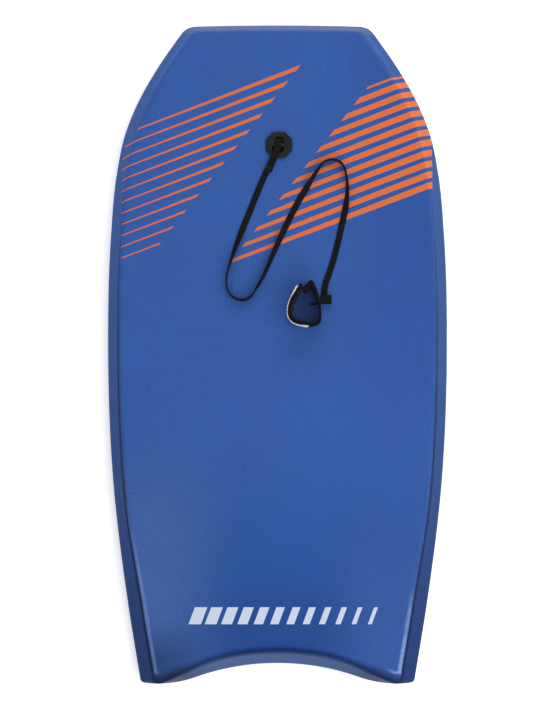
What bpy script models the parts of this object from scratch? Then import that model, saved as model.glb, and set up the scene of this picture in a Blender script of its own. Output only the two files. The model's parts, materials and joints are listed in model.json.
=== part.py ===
"""Bodyboard with a wrist leash.

Metres. The nose points along +Y, the deck faces +Z, and the origin is the centre of the bottom face.
The board is a foam core between a deck skin and a bottom slick, edged with four foam strips. A two-part
plug clamps through it and holds a flat webbing leash with a hook-and-loop wrist cuff.
"""

import math

import bmesh
import bpy
import numpy as np
from mathutils import Matrix, Vector

MM = 0.001
GAP = 0.3 * MM

# Board outline, seen from above
LENGTH = 1067 * MM
HALF_LENGTH = LENGTH / 2
NOSE_BOW = 2.4 * MM  # how far the nose edge falls back at its corners
NOSE_HALF_WIDTH = 149 * MM
NOSE_CORNER_RADIUS = 30 * MM
TAIL_CORNER_RADIUS = 7.5 * MM
PEG_X = 190 * MM  # the rearmost point of each tail peg
ARCH_DEPTH = 32.5 * MM  # the crescent's depth between the pegs
ARCH_RADIUS = 395 * MM
# (distance from the centre towards the nose, half-width) of the side line
SIDE_LINE = [
    (-533.5 * MM, 219 * MM),
    (-404 * MM, 240.7 * MM),
    (-209 * MM, 265.3 * MM),
    (10 * MM, 274.7 * MM),
    (190 * MM, 270.9 * MM),
    (290 * MM, 262 * MM),
    (356 * MM, 248.5 * MM),
    (414 * MM, 224.8 * MM),
    (463 * MM, 196.7 * MM),
    (533.5 * MM, 147.2 * MM),
]

# Board section
THICKNESS = 54 * MM
ROCKER_START = 356 * MM  # the bottom is flat behind this line
ROCKER_BOTTOM_RISE = 12 * MM
ROCKER_DECK_RISE = 8 * MM
ROCKER_STATIONS = 8
# Heights of the layers above the bottom, in mm
SLICK_TOP = 1.0
CORE_BASE = 1.3
CORE_TOP = 48.7
DECK_BASE = 49.0
DECK_TOP = 54.0
# Outlines of the layers' edges in section: (inset from the board's outline, height), in mm
RAIL_FACE = [(6.5, CORE_BASE), (3, 8), (0.9, 15), (0, 21), (0.7, 25), (9, 37), (16.9, 47.9), (18.6, CORE_TOP)]
RAIL_BACK = [(27, CORE_TOP), (9.6, 22), (14, CORE_BASE)]
DECK_EDGE = [(20.4, DECK_BASE), (19.6, 49.8), (19.6, 51.4), (20.8, 53), (23, 53.8), (26.5, DECK_TOP)]
CORE_EDGE = [(14.5, CORE_BASE), (10.1, 22), (27.5, CORE_TOP)]
SLICK_EDGE = [(8, 0), (7, 0.3), (7, SLICK_TOP)]

# Points along half the outline, from the nose centre to the tail centre
NOSE_STEPS = 6
NOSE_CORNER_STEPS = 6
SIDE_STEPS = 30
TAIL_CORNER_STEPS = 5
TAIL_STEPS = 15
NOSE_JOINT = NOSE_STEPS + NOSE_CORNER_STEPS
TAIL_JOINT = NOSE_JOINT + SIDE_STEPS + TAIL_CORNER_STEPS + 3
HALF_STEPS = NOSE_JOINT + SIDE_STEPS + TAIL_CORNER_STEPS + TAIL_STEPS

# Leash plug
PLUG = Vector((2.5 * MM, 333 * MM, 0))
FLANGE_ACROSS_FLATS = 43 * MM
FLANGE_TOP = THICKNESS + 4.0 * MM
CUP_RADIUS = 19.2 * MM
CUP_BOTTOM = THICKNESS - 11 * MM
TUBE_RADIUS = 10 * MM
TUBE_BOTTOM = 22 * MM
RECESS_SIZE = Vector((22 * MM, 28 * MM, 12 * MM))
BAR_RADIUS = 2.5 * MM
BAR_HEIGHT = THICKNESS + 1.5 * MM
STUD_RADIUS = 5.5 * MM
STUD_TOP = 40 * MM
BASE_RADIUS = 22 * MM
BASE_FACE = 0.4 * MM
BASE_TOP = 3.4 * MM
BASE_SLOT = Vector((26 * MM, 3 * MM, 2.4 * MM))

# Leash webbing
WEB_WIDTH = 10 * MM
WEB_THICKNESS = 1.6 * MM
WEB_STEP = 6 * MM
WRAP_RADIUS = BAR_RADIUS + GAP + WEB_THICKNESS / 2
FOLD_LENGTH = 45 * MM  # from the plug's bar to the end of the folded-back layer
HINGE_CLEARANCE = 1.0 * MM
# Where the webbing runs on the deck, from the plug's bar to the cuff
WEB_PLAN = [
    (0.5, 333), (-3, 321), (-8, 311), (-14, 299), (-27, 272), (-44, 230), (-61, 187), (-74, 151),
    (-82, 123), (-82.5, 104), (-75, 90), (-61, 83.5), (-46, 87), (-35, 100), (-23, 121), (-8, 155),
    (12, 198), (31, 237), (50, 270), (66, 294), (77, 307), (92, 311.5), (106, 303.5), (113, 287),
    (115, 263), (111, 236), (105, 207), (98.5, 179), (90.5, 148), (82.5, 123), (77.5, 103), (77, 78),
]
# (distance along the webbing, degrees it leans up on its edge)
WEB_LEAN = [
    (0, 0), (167, 0), (227, 76), (267, 88), (284, 66), (308, 84), (337, 56), (417, 0),
    (504, 0), (544, 74), (614, 70), (644, 0), (900, 0),
]
# (distance from the bar, height over the deck) of the folded layer and of the layer on top of it
FOLDED_LAYER = [(45, 1.1), (37, 1.1), (30.5, 1.1), (25.6, 3.0), (21.9, 5.1), (12.2, 5.1)]
TOP_LAYER = [(0, 5.1), (6, 6.1), (13, 7.0), (22.6, 7.0), (26.9, 4.6), (31.2, 3.0), (47, 3.0), (53, 1.1)]
FOLD_TANGENT = math.radians(35)  # how steeply the folded layer leaves the bar
WRAP_STEPS = 8

# Wrist cuff: (x, y) of the middle of each band, which stands on its edge on the deck
CUFF_HEIGHT = 38 * MM
PAD_THICKNESS = 5.5 * MM
FLAP_THICKNESS = 2.0 * MM
FLAP_LINE = [
    (32.5, 101), (26.5, 91), (21, 82.5), (17.3, 73.5), (15.4, 64),
    (15.8, 54), (20, 46.2), (28, 41.4), (37.5, 39.4), (47, 39),
]
PAD_LINE = [
    (38.5, 102), (33.5, 92.5), (27.5, 83), (22.6, 73), (20, 63), (20.8, 55),
    (25.2, 49.5), (33, 45.5), (44, 43.4), (55, 43.6), (63.5, 46.2),
]
SIDE_BAND_LINE = [
    (68.4, 46.5), (69.6, 56), (69.8, 66), (68.4, 78), (65.2, 89),
    (61, 98.5), (56.6, 106.5), (54, 108.2), (50.5, 106), (45, 101.6),
]
SIDE_BAND_THICKNESS = [2, 2, 2, 2.6, 3.4, 4, 4, 4, 4.4, 4.4]  # in mm, at the points above
TAIL_LINE = [(52.5, 71.5), (58, 70.6), (66.3, 71.6)]
ANCHOR_CENTRE = Vector((79.3 * MM, 82 * MM, THICKNESS + 4.6 * MM))
ANCHOR_SIZE = Vector((15.6 * MM, 15 * MM, 4 * MM))

# Joint axes
LIFT_PIVOT = Vector((0, PLUG.y, BAR_HEIGHT))
BEND_1_DISTANCE = 267 * MM  # along the webbing
BEND_2_DISTANCE = 566 * MM
CUFF_PIVOT = Vector((78 * MM, 83 * MM, THICKNESS))

# Colours (linear)
BLUE = (0.045, 0.105, 0.35)
DARK_BLUE = (0.030, 0.068, 0.24)
PALE_BLUE = (0.075, 0.15, 0.36)
BLACK = (0.012, 0.012, 0.013)
LIGHT_GREY = (0.55, 0.53, 0.53)
FOAM_WHITE = (0.85, 0.85, 0.83)


def clear_scene():
    for thing in list(bpy.data.objects):
        bpy.data.objects.remove(thing)


def new_collection(name):
    collection = bpy.data.collections.new(name)
    bpy.context.scene.collection.children.link(collection)
    return collection


def new_material(name, colour, roughness, metallic=0.0):
    material = bpy.data.materials.new(name)
    material.use_nodes = True
    shader = material.node_tree.nodes["Principled BSDF"]
    shader.inputs["Base Color"].default_value = (*colour, 1)
    shader.inputs["Roughness"].default_value = roughness
    shader.inputs["Metallic"].default_value = metallic
    return material


def add_part(name, bm, colour, roughness):
    """Makes a named object with its own material from a bmesh, with smooth round faces."""
    bmesh.ops.recalc_face_normals(bm, faces=bm.faces)
    mesh = bpy.data.meshes.new(name)
    bm.to_mesh(mesh)
    bm.free()
    mesh.shade_smooth()
    mesh.set_sharp_from_angle(angle=math.radians(35))
    part = bpy.data.objects.new(name, mesh)
    part.data.materials.append(new_material(name, colour, roughness))
    PARTS.objects.link(part)
    return part


def add_cutter(name, bm, place):
    """Makes a hidden helper solid, whose mesh is centred on its own origin."""
    bmesh.ops.recalc_face_normals(bm, faces=bm.faces)
    mesh = bpy.data.meshes.new(name)
    bm.to_mesh(mesh)
    bm.free()
    cutter = bpy.data.objects.new(name, mesh)
    cutter.location = place
    cutter.hide_render = True
    cutter.display_type = "WIRE"
    CUTTERS.objects.link(cutter)
    return cutter


def cylinder(radius, height, sides=32):
    bm = bmesh.new()
    bmesh.ops.create_cone(bm, cap_ends=True, segments=sides, radius1=radius, radius2=radius, depth=height)
    return bm


def box(size):
    bm = bmesh.new()
    bmesh.ops.create_cube(bm, size=1, matrix=Matrix.Diagonal((*size, 1)))
    return bm


def round_cutter(name, radius, bottom, top, place, sides=32):
    centre = Vector((place.x, place.y, (bottom + top) / 2))
    return add_cutter(name, cylinder(radius, top - bottom, sides), centre)


def boolean(part, tool, operation="DIFFERENCE"):
    modifier = part.modifiers.new(tool.name, "BOOLEAN")
    modifier.operation = operation
    modifier.object = tool
    modifier.solver = "EXACT"


def bevel(part, width, segments=1, angle=50):
    modifier = part.modifiers.new("Bevel", "BEVEL")
    modifier.width = width
    modifier.segments = segments
    modifier.limit_method = "ANGLE"
    modifier.angle_limit = math.radians(angle)


def loft(sections):
    """Closed bmesh through rings of equally many points, with a face over the first and the last ring."""
    bm = bmesh.new()
    rings = [[bm.verts.new(point) for point in section] for section in sections]
    count = len(rings[0])
    for ring, following in zip(rings, rings[1:]):
        for i in range(count):
            j = (i + 1) % count
            bm.faces.new((ring[i], ring[j], following[j], following[i]))
    bm.faces.new(reversed(rings[0]))
    bm.faces.new(rings[-1])
    return bm


# ---- outline -------------------------------------------------------------------------------------


def side_half_width(y):
    """Smooth curve through SIDE_LINE, carried on straight past its ends."""
    knots = np.array(SIDE_LINE)
    slope = np.gradient(knots[:, 1], knots[:, 0])
    i = np.clip(np.searchsorted(knots[:, 0], y) - 1, 0, len(knots) - 2)
    step = knots[i + 1, 0] - knots[i, 0]
    t = np.clip((y - knots[i, 0]) / step, 0, 1)
    inside = (
        (2 * t**3 - 3 * t**2 + 1) * knots[i, 1]
        + (t**3 - 2 * t**2 + t) * step * slope[i]
        + (3 * t**2 - 2 * t**3) * knots[i + 1, 1]
        + (t**3 - t**2) * step * slope[i + 1]
    )
    beyond = np.maximum(y - knots[-1, 0], 0) * slope[-1] + np.minimum(y - knots[0, 0], 0) * slope[0]
    return inside + beyond


def nose_line(x, inset):
    return HALF_LENGTH - NOSE_BOW * (x / NOSE_HALF_WIDTH) ** 2 - inset


def tail_line(x, inset):
    """A hollow arc across the middle, running into a round peg on each side."""
    peg_radius = (PEG_X**2 + ARCH_DEPTH**2) / (2 * ARCH_DEPTH) - ARCH_RADIUS
    arch_y = -HALF_LENGTH + ARCH_DEPTH - ARCH_RADIUS
    peg_y = -HALF_LENGTH + peg_radius
    arch = ARCH_RADIUS + inset
    peg = peg_radius - inset
    meeting_x = PEG_X * arch / (arch + peg)
    on_arch = arch_y + np.sqrt(np.maximum(arch**2 - x**2, 0))
    on_peg = peg_y - np.sqrt(np.maximum(peg**2 - (x - PEG_X) ** 2, 0))
    return np.where(x < meeting_x, on_arch, on_peg)


def crossing(points, values):
    """The index before the first sign change of values, and the point where they are zero."""
    i = int(np.where(np.diff(np.sign(values)) != 0)[0][0])
    share = values[i] / (values[i] - values[i + 1])
    return i, points[i] + share * (points[i + 1] - points[i])


def lengths(points):
    return np.concatenate(([0], np.cumsum(np.linalg.norm(np.diff(points, axis=0), axis=1))))


def along(points, distances):
    run = lengths(points)
    return np.stack([np.interp(distances, run, points[:, k]) for k in range(points.shape[1])], axis=1)


def even_steps(points, count, start=0.0, end=0.0):
    """count + 1 evenly spaced points, leaving out a length at the start and at the end."""
    return along(points, np.linspace(start, lengths(points)[-1] - end, count + 1))


def rounded_corner(before, corner, after, count):
    t = np.linspace(0, 1, count + 1)[:, None]
    return (1 - t) ** 2 * before + 2 * t * (1 - t) * corner + t**2 * after


def half_outline(inset):
    """Points from the nose centre round the right side to the tail centre, inset from the board's edge."""
    y = np.linspace(HALF_LENGTH + 30 * MM, -HALF_LENGTH - 30 * MM, 600)
    side = np.stack([side_half_width(y), y], axis=1)
    direction = np.gradient(side, axis=0)
    direction /= np.linalg.norm(direction, axis=1)[:, None]
    side += inset * np.stack([direction[:, 1], -direction[:, 0]], axis=1)
    first, nose_corner = crossing(side, side[:, 1] - nose_line(side[:, 0], inset))
    last, tail_corner = crossing(side, side[:, 1] - tail_line(side[:, 0], inset))
    side = np.concatenate(([nose_corner], side[first + 1 : last + 1], [tail_corner]))
    x = np.linspace(0, nose_corner[0], 60)
    nose = np.stack([x, nose_line(x, inset)], axis=1)
    x = np.linspace(tail_corner[0], 0, 200)
    tail = np.stack([x, tail_line(x, inset)], axis=1)

    nose_cut = 0.513 * (NOSE_CORNER_RADIUS - 0.6 * inset)
    tail_cut = 0.713 * (TAIL_CORNER_RADIUS + 0.3 * inset)
    nose_points = even_steps(nose, NOSE_STEPS, end=nose_cut)
    side_points = even_steps(side, SIDE_STEPS, start=nose_cut, end=tail_cut)
    tail_points = even_steps(tail, TAIL_STEPS, start=tail_cut)
    nose_round = rounded_corner(nose_points[-1], nose_corner, side_points[0], NOSE_CORNER_STEPS)
    tail_round = rounded_corner(side_points[-1], tail_corner, tail_points[0], TAIL_CORNER_STEPS)
    return np.concatenate((nose_points[:-1], nose_round[:-1], side_points[:-1], tail_round[:-1], tail_points))


def rocker(y, z):
    """Height of a point once the nose is lifted, the bottom more than the deck."""
    share = max(0.0, (y - ROCKER_START) / (HALF_LENGTH - ROCKER_START))
    rise = ROCKER_BOTTOM_RISE + (ROCKER_DECK_RISE - ROCKER_BOTTOM_RISE) * z / THICKNESS
    return z + share**2 * rise


def outline_ring(inset, height):
    """The whole closed outline at an inset and a height."""
    half = half_outline(inset)
    ring = [(x, y, height) for x, y in half]
    ring += [(-x, y, height) for x, y in half[-2:0:-1]]
    return ring


def lift_nose(bm):
    """Adds cross lines in front of the rocker's start, and lifts every point by the rocker."""
    for y in np.linspace(ROCKER_START, HALF_LENGTH, ROCKER_STATIONS, endpoint=False):
        geometry = list(bm.verts) + list(bm.edges) + list(bm.faces)
        bmesh.ops.bisect_plane(bm, geom=geometry, dist=1e-6, plane_co=(0, y, 0), plane_no=(0, 1, 0))
    for vertex in bm.verts:
        vertex.co.z = rocker(vertex.co.y, vertex.co.z)


def add_sheet(name, edge, colour, roughness):
    """A board-shaped layer whose edge follows the (inset, height) points in mm."""
    bm = loft([outline_ring(inset * MM, height * MM) for inset, height in edge])
    lift_nose(bm)
    return add_part(name, bm, colour, roughness)


def add_strip(name, stations, colour, roughness):
    """A foam edge strip. Each station is (1 for right or -1 for left, place on the half outline)."""
    section = RAIL_FACE + RAIL_BACK
    halves = [half_outline(inset * MM) for inset, _ in section]
    rings = []
    for side, place in stations:
        ring = []
        for half, (_, height) in zip(halves, section):
            x, y = half[place]
            ring.append(Vector((side * x, y, rocker(y, height * MM))))
        rings.append(ring)
    shorten(rings, 0, 1)
    shorten(rings, -1, -2)
    return add_part(name, loft(rings), colour, roughness)


def across_centre(outer, centre):
    """Stations from the left half's outer place over the centre line to the right half's."""
    step = 1 if centre > outer else -1
    places = list(range(outer, centre + step, step))
    return [(-1, place) for place in places[:-1]] + [(1, place) for place in reversed(places)]


def shorten(rings, end, neighbour):
    """Draws a strip's end ring back towards its neighbour, for its share of the joint gap."""
    for i, point in enumerate(rings[end]):
        towards = (rings[neighbour][i] - point).normalized()
        rings[end][i] = point + towards * GAP * 0.6


# ---- board ---------------------------------------------------------------------------------------


def build_board():
    deck = add_sheet("deck_skin", DECK_EDGE, BLUE, 0.55)
    core = add_sheet("foam_core", CORE_EDGE, FOAM_WHITE, 0.9)
    slick = add_sheet("bottom_slick", SLICK_EDGE, DARK_BLUE, 0.3)
    rail_places = range(NOSE_JOINT, TAIL_JOINT + 1)
    add_strip("rail_right", [(1, place) for place in rail_places], BLUE, 0.6)
    add_strip("rail_left", [(-1, place) for place in rail_places], BLUE, 0.6)
    add_strip("nose_strip", across_centre(NOSE_JOINT, 0), PALE_BLUE, 0.6)
    add_strip("tail_strip", across_centre(TAIL_JOINT, HALF_STEPS), PALE_BLUE, 0.6)
    cup_hole = round_cutter("cup_hole", CUP_RADIUS + GAP, CUP_BOTTOM - GAP, FLANGE_TOP, PLUG)
    tube_hole = round_cutter("tube_hole", TUBE_RADIUS + GAP, -5 * MM, CUP_BOTTOM, PLUG)
    base_hole = round_cutter("base_hole", BASE_RADIUS + GAP, -5 * MM, BASE_TOP + GAP, PLUG)
    boolean(deck, cup_hole)
    boolean(core, cup_hole)
    boolean(core, tube_hole)
    boolean(core, base_hole)
    boolean(slick, base_hole)


def build_plug_cap():
    """Octagonal flange on the deck, a cup with a cross bar for the webbing, and a threaded tube below it."""
    flange_bottom = THICKNESS + GAP
    radius = FLANGE_ACROSS_FLATS / 2 / math.cos(math.pi / 8)
    bm = cylinder(radius, FLANGE_TOP - flange_bottom, 8)
    bmesh.ops.rotate(bm, verts=bm.verts, matrix=Matrix.Rotation(math.pi / 8, 3, "Z"))
    cap = add_part("plug_cap", bm, BLACK, 0.45)
    cap.location = (PLUG.x, PLUG.y, (flange_bottom + FLANGE_TOP) / 2)
    bevel(cap, 1.6 * MM)
    boolean(cap, round_cutter("cup", CUP_RADIUS, CUP_BOTTOM, flange_bottom + 1 * MM, PLUG), "UNION")
    boolean(cap, round_cutter("tube", TUBE_RADIUS, TUBE_BOTTOM, CUP_BOTTOM + 1 * MM, PLUG), "UNION")
    recess_middle = Vector((PLUG.x, PLUG.y + 0.5 * MM, FLANGE_TOP + 1 * MM - RECESS_SIZE.z / 2))
    boolean(cap, add_cutter("recess", box(RECESS_SIZE), recess_middle))
    bar = cylinder(BAR_RADIUS, RECESS_SIZE.x + 2 * MM, 16)
    bmesh.ops.rotate(bar, verts=bar.verts, matrix=Matrix.Rotation(math.pi / 2, 3, "Y"))
    boolean(cap, add_cutter("bar", bar, Vector((PLUG.x, PLUG.y, BAR_HEIGHT))), "UNION")
    boolean(cap, round_cutter("bore", STUD_RADIUS + GAP, TUBE_BOTTOM - 5 * MM, STUD_TOP + GAP * 3, PLUG))


def build_plug_base():
    """Round flange sunk in the slick, with a coin slot and the stud that screws into the cap."""
    base = add_part("plug_base", cylinder(BASE_RADIUS, BASE_TOP - BASE_FACE), BLACK, 0.45)
    base.location = (PLUG.x, PLUG.y, (BASE_FACE + BASE_TOP) / 2)
    bevel(base, 0.6 * MM)
    boolean(base, round_cutter("stud", STUD_RADIUS, BASE_TOP - 1 * MM, STUD_TOP, PLUG, 24), "UNION")
    boolean(base, add_cutter("coin_slot", box(BASE_SLOT), Vector((PLUG.x, PLUG.y, 0))))


# ---- webbing -------------------------------------------------------------------------------------


def smooth_path(knots, step):
    """Evenly spaced points on a smooth curve through the knots."""
    knots = np.array(knots, float)
    padded = np.concatenate(([2 * knots[0] - knots[1]], knots, [2 * knots[-1] - knots[-2]]))
    pieces = []
    for a, b, c, d in zip(padded, padded[1:], padded[2:], padded[3:]):
        t = np.linspace(0, 1, 12, endpoint=False)[:, None]
        pieces.append(
            0.5 * (2 * b + (c - a) * t + (2 * a - 5 * b + 4 * c - d) * t**2 + (3 * b - a - 3 * c + d) * t**3)
        )
    fine = np.concatenate(pieces + [knots[-1:]])
    return even_steps(fine, max(1, round(lengths(fine)[-1] / step)))


def across(plan):
    """Level unit vectors square to a path, pointing to its left."""
    direction = np.gradient(plan[:, :2], axis=0)
    direction /= np.linalg.norm(direction, axis=1)[:, None]
    return np.stack([-direction[:, 1], direction[:, 0], np.zeros(len(plan))], axis=1)


def ribbon(points, sides, lean, width, thickness):
    """Flat band along 3-D points. sides are level vectors across it, and lean turns it about its length."""
    forward = np.gradient(points, axis=0)
    forward /= np.linalg.norm(forward, axis=1)[:, None]
    upward = np.cross(forward, sides)
    lean = np.broadcast_to(lean, len(points))[:, None]
    half_width = (sides * np.cos(lean) + upward * np.sin(lean)) * width / 2
    depth = np.broadcast_to(thickness, len(points))[:, None]
    half_depth = (upward * np.cos(lean) - sides * np.sin(lean)) * depth / 2
    signs = [(1, 1), (-1, 1), (-1, -1), (1, -1)]
    corners = [points + a * half_width + b * half_depth for a, b in signs]
    return loft([[Vector(corner[i]) for corner in corners] for i in range(len(points))])


def web_plan():
    return smooth_path(np.array(WEB_PLAN) * MM, 1 * MM)


def web_points(start, end):
    """Middle of the webbing on the deck between two distances along it, with its side vectors and lean."""
    plan = web_plan()
    spots = np.linspace(start, end, max(2, round((end - start) / WEB_STEP)) + 1)
    flat = along(plan, spots)
    sides = along(across(plan), spots)
    sides /= np.linalg.norm(sides, axis=1)[:, None]
    keys = np.array(WEB_LEAN)
    lean = np.radians(np.interp(spots, keys[:, 0] * MM, keys[:, 1]))
    rise = WEB_WIDTH / 2 * np.sin(lean) + WEB_THICKNESS / 2 * np.cos(lean)
    height = THICKNESS + GAP + rise
    return np.column_stack([flat, height]), sides, lean


def fold_points():
    """The folded layer, the wrap round the bar, and the layer on top, as 3-D points with side vectors."""
    folded = [(distance * MM, 0, THICKNESS + height * MM) for distance, height in FOLDED_LAYER]
    turns = np.linspace(math.pi / 2 - FOLD_TANGENT, math.pi * 1.5, WRAP_STEPS + 1)[:-1]
    wrap = [(0, WRAP_RADIUS * math.cos(a), BAR_HEIGHT - WRAP_RADIUS * math.sin(a)) for a in turns]
    top = [(distance * MM, 0, THICKNESS + height * MM) for distance, height in TOP_LAYER]
    rows = np.array(folded + wrap + top)
    plan = web_plan()
    flat = along(plan, rows[:, 0])
    flat[:, 1] -= rows[:, 1]
    sides = along(across(plan), rows[:, 0])
    sides[rows[:, 0] == 0] = (1, 0, 0)
    sides /= np.linalg.norm(sides, axis=1)[:, None]
    return np.column_stack([flat, rows[:, 2]]), sides


def build_strap():
    """The webbing in three legs, parted at the middle of its two bends."""
    total = lengths(web_plan())[-1]
    fold, fold_sides = fold_points()
    start = (TOP_LAYER[-1][0] + 5) * MM
    points, sides, lean = web_points(start, BEND_1_DISTANCE - HINGE_CLEARANCE)
    leg = ribbon(
        np.concatenate((fold, points)),
        np.concatenate((fold_sides, sides)),
        np.concatenate((np.zeros(len(fold)), lean)),
        WEB_WIDTH,
        WEB_THICKNESS,
    )
    legs = [add_part("strap_plug_leg", leg, BLACK, 0.8)]
    spans = [
        ("strap_middle_leg", BEND_1_DISTANCE + HINGE_CLEARANCE, BEND_2_DISTANCE - HINGE_CLEARANCE),
        ("strap_cuff_leg", BEND_2_DISTANCE + HINGE_CLEARANCE, total),
    ]
    for name, start, end in spans:
        points, sides, lean = web_points(start, end)
        legs.append(add_part(name, ribbon(points, sides, lean, WEB_WIDTH, WEB_THICKNESS), BLACK, 0.8))
    return legs


def build_fold_tack():
    """Thread bar across the webbing where the folded layer is sewn down."""
    spot = FOLD_LENGTH - 5 * MM
    plan = web_plan()
    middle = along(plan, [spot])[0]
    side = along(across(plan), [spot])[0]
    bm = box((WEB_WIDTH * 0.9, 3 * MM, 0.5 * MM))
    bmesh.ops.rotate(bm, verts=bm.verts, matrix=Matrix.Rotation(math.atan2(side[1], side[0]), 3, "Z"))
    height = THICKNESS + 3.0 * MM + WEB_THICKNESS / 2 + GAP + 0.25 * MM
    bmesh.ops.translate(bm, verts=bm.verts, vec=(middle[0], middle[1], height))
    return add_part("fold_bar_tack", bm, BLACK, 0.8)


# ---- wrist cuff ----------------------------------------------------------------------------------


def standing_band(line, thickness, height, step=5 * MM):
    """A band on its edge on the deck, along a smooth line through (x, y) points in mm."""
    knots = np.array(line) * MM
    plan = smooth_path(knots, step)
    if np.ndim(thickness):
        share = lengths(plan) / lengths(plan)[-1]
        thickness = np.interp(share, lengths(knots) / lengths(knots)[-1], np.array(thickness) * MM)
    middle = THICKNESS + GAP + height / 2
    points = np.column_stack([plan, np.full(len(plan), middle)])
    return ribbon(points, across(plan), math.pi / 2, height, thickness)


def build_cuff():
    pad = add_part("cuff_pad", standing_band(PAD_LINE, PAD_THICKNESS, CUFF_HEIGHT), BLACK, 0.9)
    band = standing_band(SIDE_BAND_LINE, SIDE_BAND_THICKNESS, CUFF_HEIGHT - 3 * MM, 4 * MM)
    side_band = add_part("cuff_side_band", band, BLACK, 0.85)
    tail = add_part("strap_tail", standing_band(TAIL_LINE, WEB_THICKNESS, 14 * MM, 4 * MM), BLACK, 0.8)
    bm = box(ANCHOR_SIZE)
    bmesh.ops.translate(bm, verts=bm.verts, vec=ANCHOR_CENTRE)
    anchor = add_part("anchor_tab", bm, BLACK, 0.8)
    bevel(anchor, 0.8 * MM)
    bm = box((2.4 * MM, ANCHOR_SIZE.y * 0.8, 0.5 * MM))
    above = ANCHOR_SIZE.z / 2 + GAP + 0.25 * MM
    bmesh.ops.translate(bm, verts=bm.verts, vec=ANCHOR_CENTRE + Vector((-4 * MM, 0, above)))
    tack = add_part("anchor_bar_tack", bm, BLACK, 0.8)
    return [pad, side_band, tail, anchor, tack]


def build_flap():
    band = standing_band(FLAP_LINE, FLAP_THICKNESS, CUFF_HEIGHT - 2 * MM)
    return add_part("cuff_flap", band, LIGHT_GREY, 0.85)


# ---- joints --------------------------------------------------------------------------------------


def add_pivot(name, place, parent=None):
    pivot = bpy.data.objects.new(name, None)
    pivot.empty_display_size = 0.02
    pivot.location = place
    if parent is not None:
        pivot.parent = parent[0]
        pivot.location = place - parent[1]
    PARTS.objects.link(pivot)
    return pivot, Vector(place)


def hang(part, pivot):
    """Moves a part's origin onto its joint axis and parents it to the pivot, without moving its shape."""
    part.data.transform(Matrix.Translation(-pivot[1]))
    part.parent = pivot[0]


def build_leash():
    plug_leg, middle_leg, cuff_leg = build_strap()
    plan = web_plan()
    bend_1, bend_2 = along(plan, [BEND_1_DISTANCE, BEND_2_DISTANCE])
    flap_x, flap_y = FLAP_LINE[-1]
    lift = add_pivot("strap_lift_axis", LIFT_PIVOT)
    first = add_pivot("strap_bend_1_axis", Vector((*bend_1, THICKNESS)), lift)
    second = add_pivot("strap_bend_2_axis", Vector((*bend_2, THICKNESS)), first)
    cuff = add_pivot("cuff_swing_axis", CUFF_PIVOT, second)
    flap = add_pivot("flap_axis", Vector((flap_x * MM, flap_y * MM, THICKNESS)), cuff)
    hang(plug_leg, lift)
    hang(build_fold_tack(), lift)
    hang(middle_leg, first)
    hang(cuff_leg, second)
    for part in build_cuff():
        hang(part, cuff)
    hang(build_flap(), flap)


clear_scene()
PARTS = new_collection("bodyboard")
CUTTERS = new_collection("cutters")
build_board()
build_plug_cap()
build_plug_base()
build_leash()
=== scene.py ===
"""Looks of a bodyboard and its wrist leash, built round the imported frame.

Metres, in the frame's own axes: the nose points along +Y and the deck faces +Z. The board's layers, the plug,
the webbing and the cuff are each made again as fine meshes in the place that the frame gives them.
"""

import contextlib
import functools
import json
import math

import bmesh
import bpy
import numpy as np
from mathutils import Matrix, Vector, noise


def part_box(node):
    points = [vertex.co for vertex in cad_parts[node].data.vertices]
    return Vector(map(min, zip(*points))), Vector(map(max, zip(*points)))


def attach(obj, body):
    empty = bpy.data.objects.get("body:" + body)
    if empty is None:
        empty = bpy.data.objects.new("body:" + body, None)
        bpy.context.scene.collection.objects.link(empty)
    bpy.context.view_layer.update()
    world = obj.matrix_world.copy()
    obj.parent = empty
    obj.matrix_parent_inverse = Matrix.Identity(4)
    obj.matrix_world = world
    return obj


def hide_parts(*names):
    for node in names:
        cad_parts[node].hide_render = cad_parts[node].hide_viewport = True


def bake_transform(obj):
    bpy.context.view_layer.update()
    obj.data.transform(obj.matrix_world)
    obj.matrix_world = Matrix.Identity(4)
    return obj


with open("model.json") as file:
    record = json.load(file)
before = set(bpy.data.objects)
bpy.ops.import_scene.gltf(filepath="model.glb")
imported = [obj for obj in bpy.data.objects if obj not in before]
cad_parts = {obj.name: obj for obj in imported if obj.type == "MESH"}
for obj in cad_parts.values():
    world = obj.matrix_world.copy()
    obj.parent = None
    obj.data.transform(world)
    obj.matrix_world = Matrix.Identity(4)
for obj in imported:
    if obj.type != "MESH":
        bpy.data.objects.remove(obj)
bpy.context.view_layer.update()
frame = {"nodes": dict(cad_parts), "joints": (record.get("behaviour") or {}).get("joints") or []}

MM = 0.001
GAP = 0.3 * MM

# ---- sizes read from the frame -------------------------------------------------------------------

HALF_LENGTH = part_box("nose_strip")[1].y
HALF_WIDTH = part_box("rail_right")[1].x
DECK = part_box("cuff_pad")[0].z - GAP  # height of the deck's top face
PLUG = (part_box("plug_base")[0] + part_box("plug_base")[1]) / 2
PLUG_RADIUS = (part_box("plug_base")[1].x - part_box("plug_base")[0].x) / 2
FLANGE_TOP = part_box("plug_cap")[1].z
FLANGE_HALF = (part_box("plug_cap")[1].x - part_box("plug_cap")[0].x) / 2
TUBE_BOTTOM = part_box("plug_cap")[0].z
BASE_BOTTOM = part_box("plug_base")[0].z
STUD_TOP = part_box("plug_base")[1].z
PIVOTS = {joint["name"]: Vector(joint["pos_m"]) for joint in frame["joints"]}
BAR_HEIGHT = PIVOTS["strap_lift"].z
CUFF_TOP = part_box("cuff_pad")[1].z
BAND_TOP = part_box("cuff_side_band")[1].z
FLAP_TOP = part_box("cuff_flap")[1].z
ANCHOR_LOW, ANCHOR_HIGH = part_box("anchor_tab")
TAIL_WEB_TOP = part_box("strap_tail")[1].z

# ---- board ---------------------------------------------------------------------------------------

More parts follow.
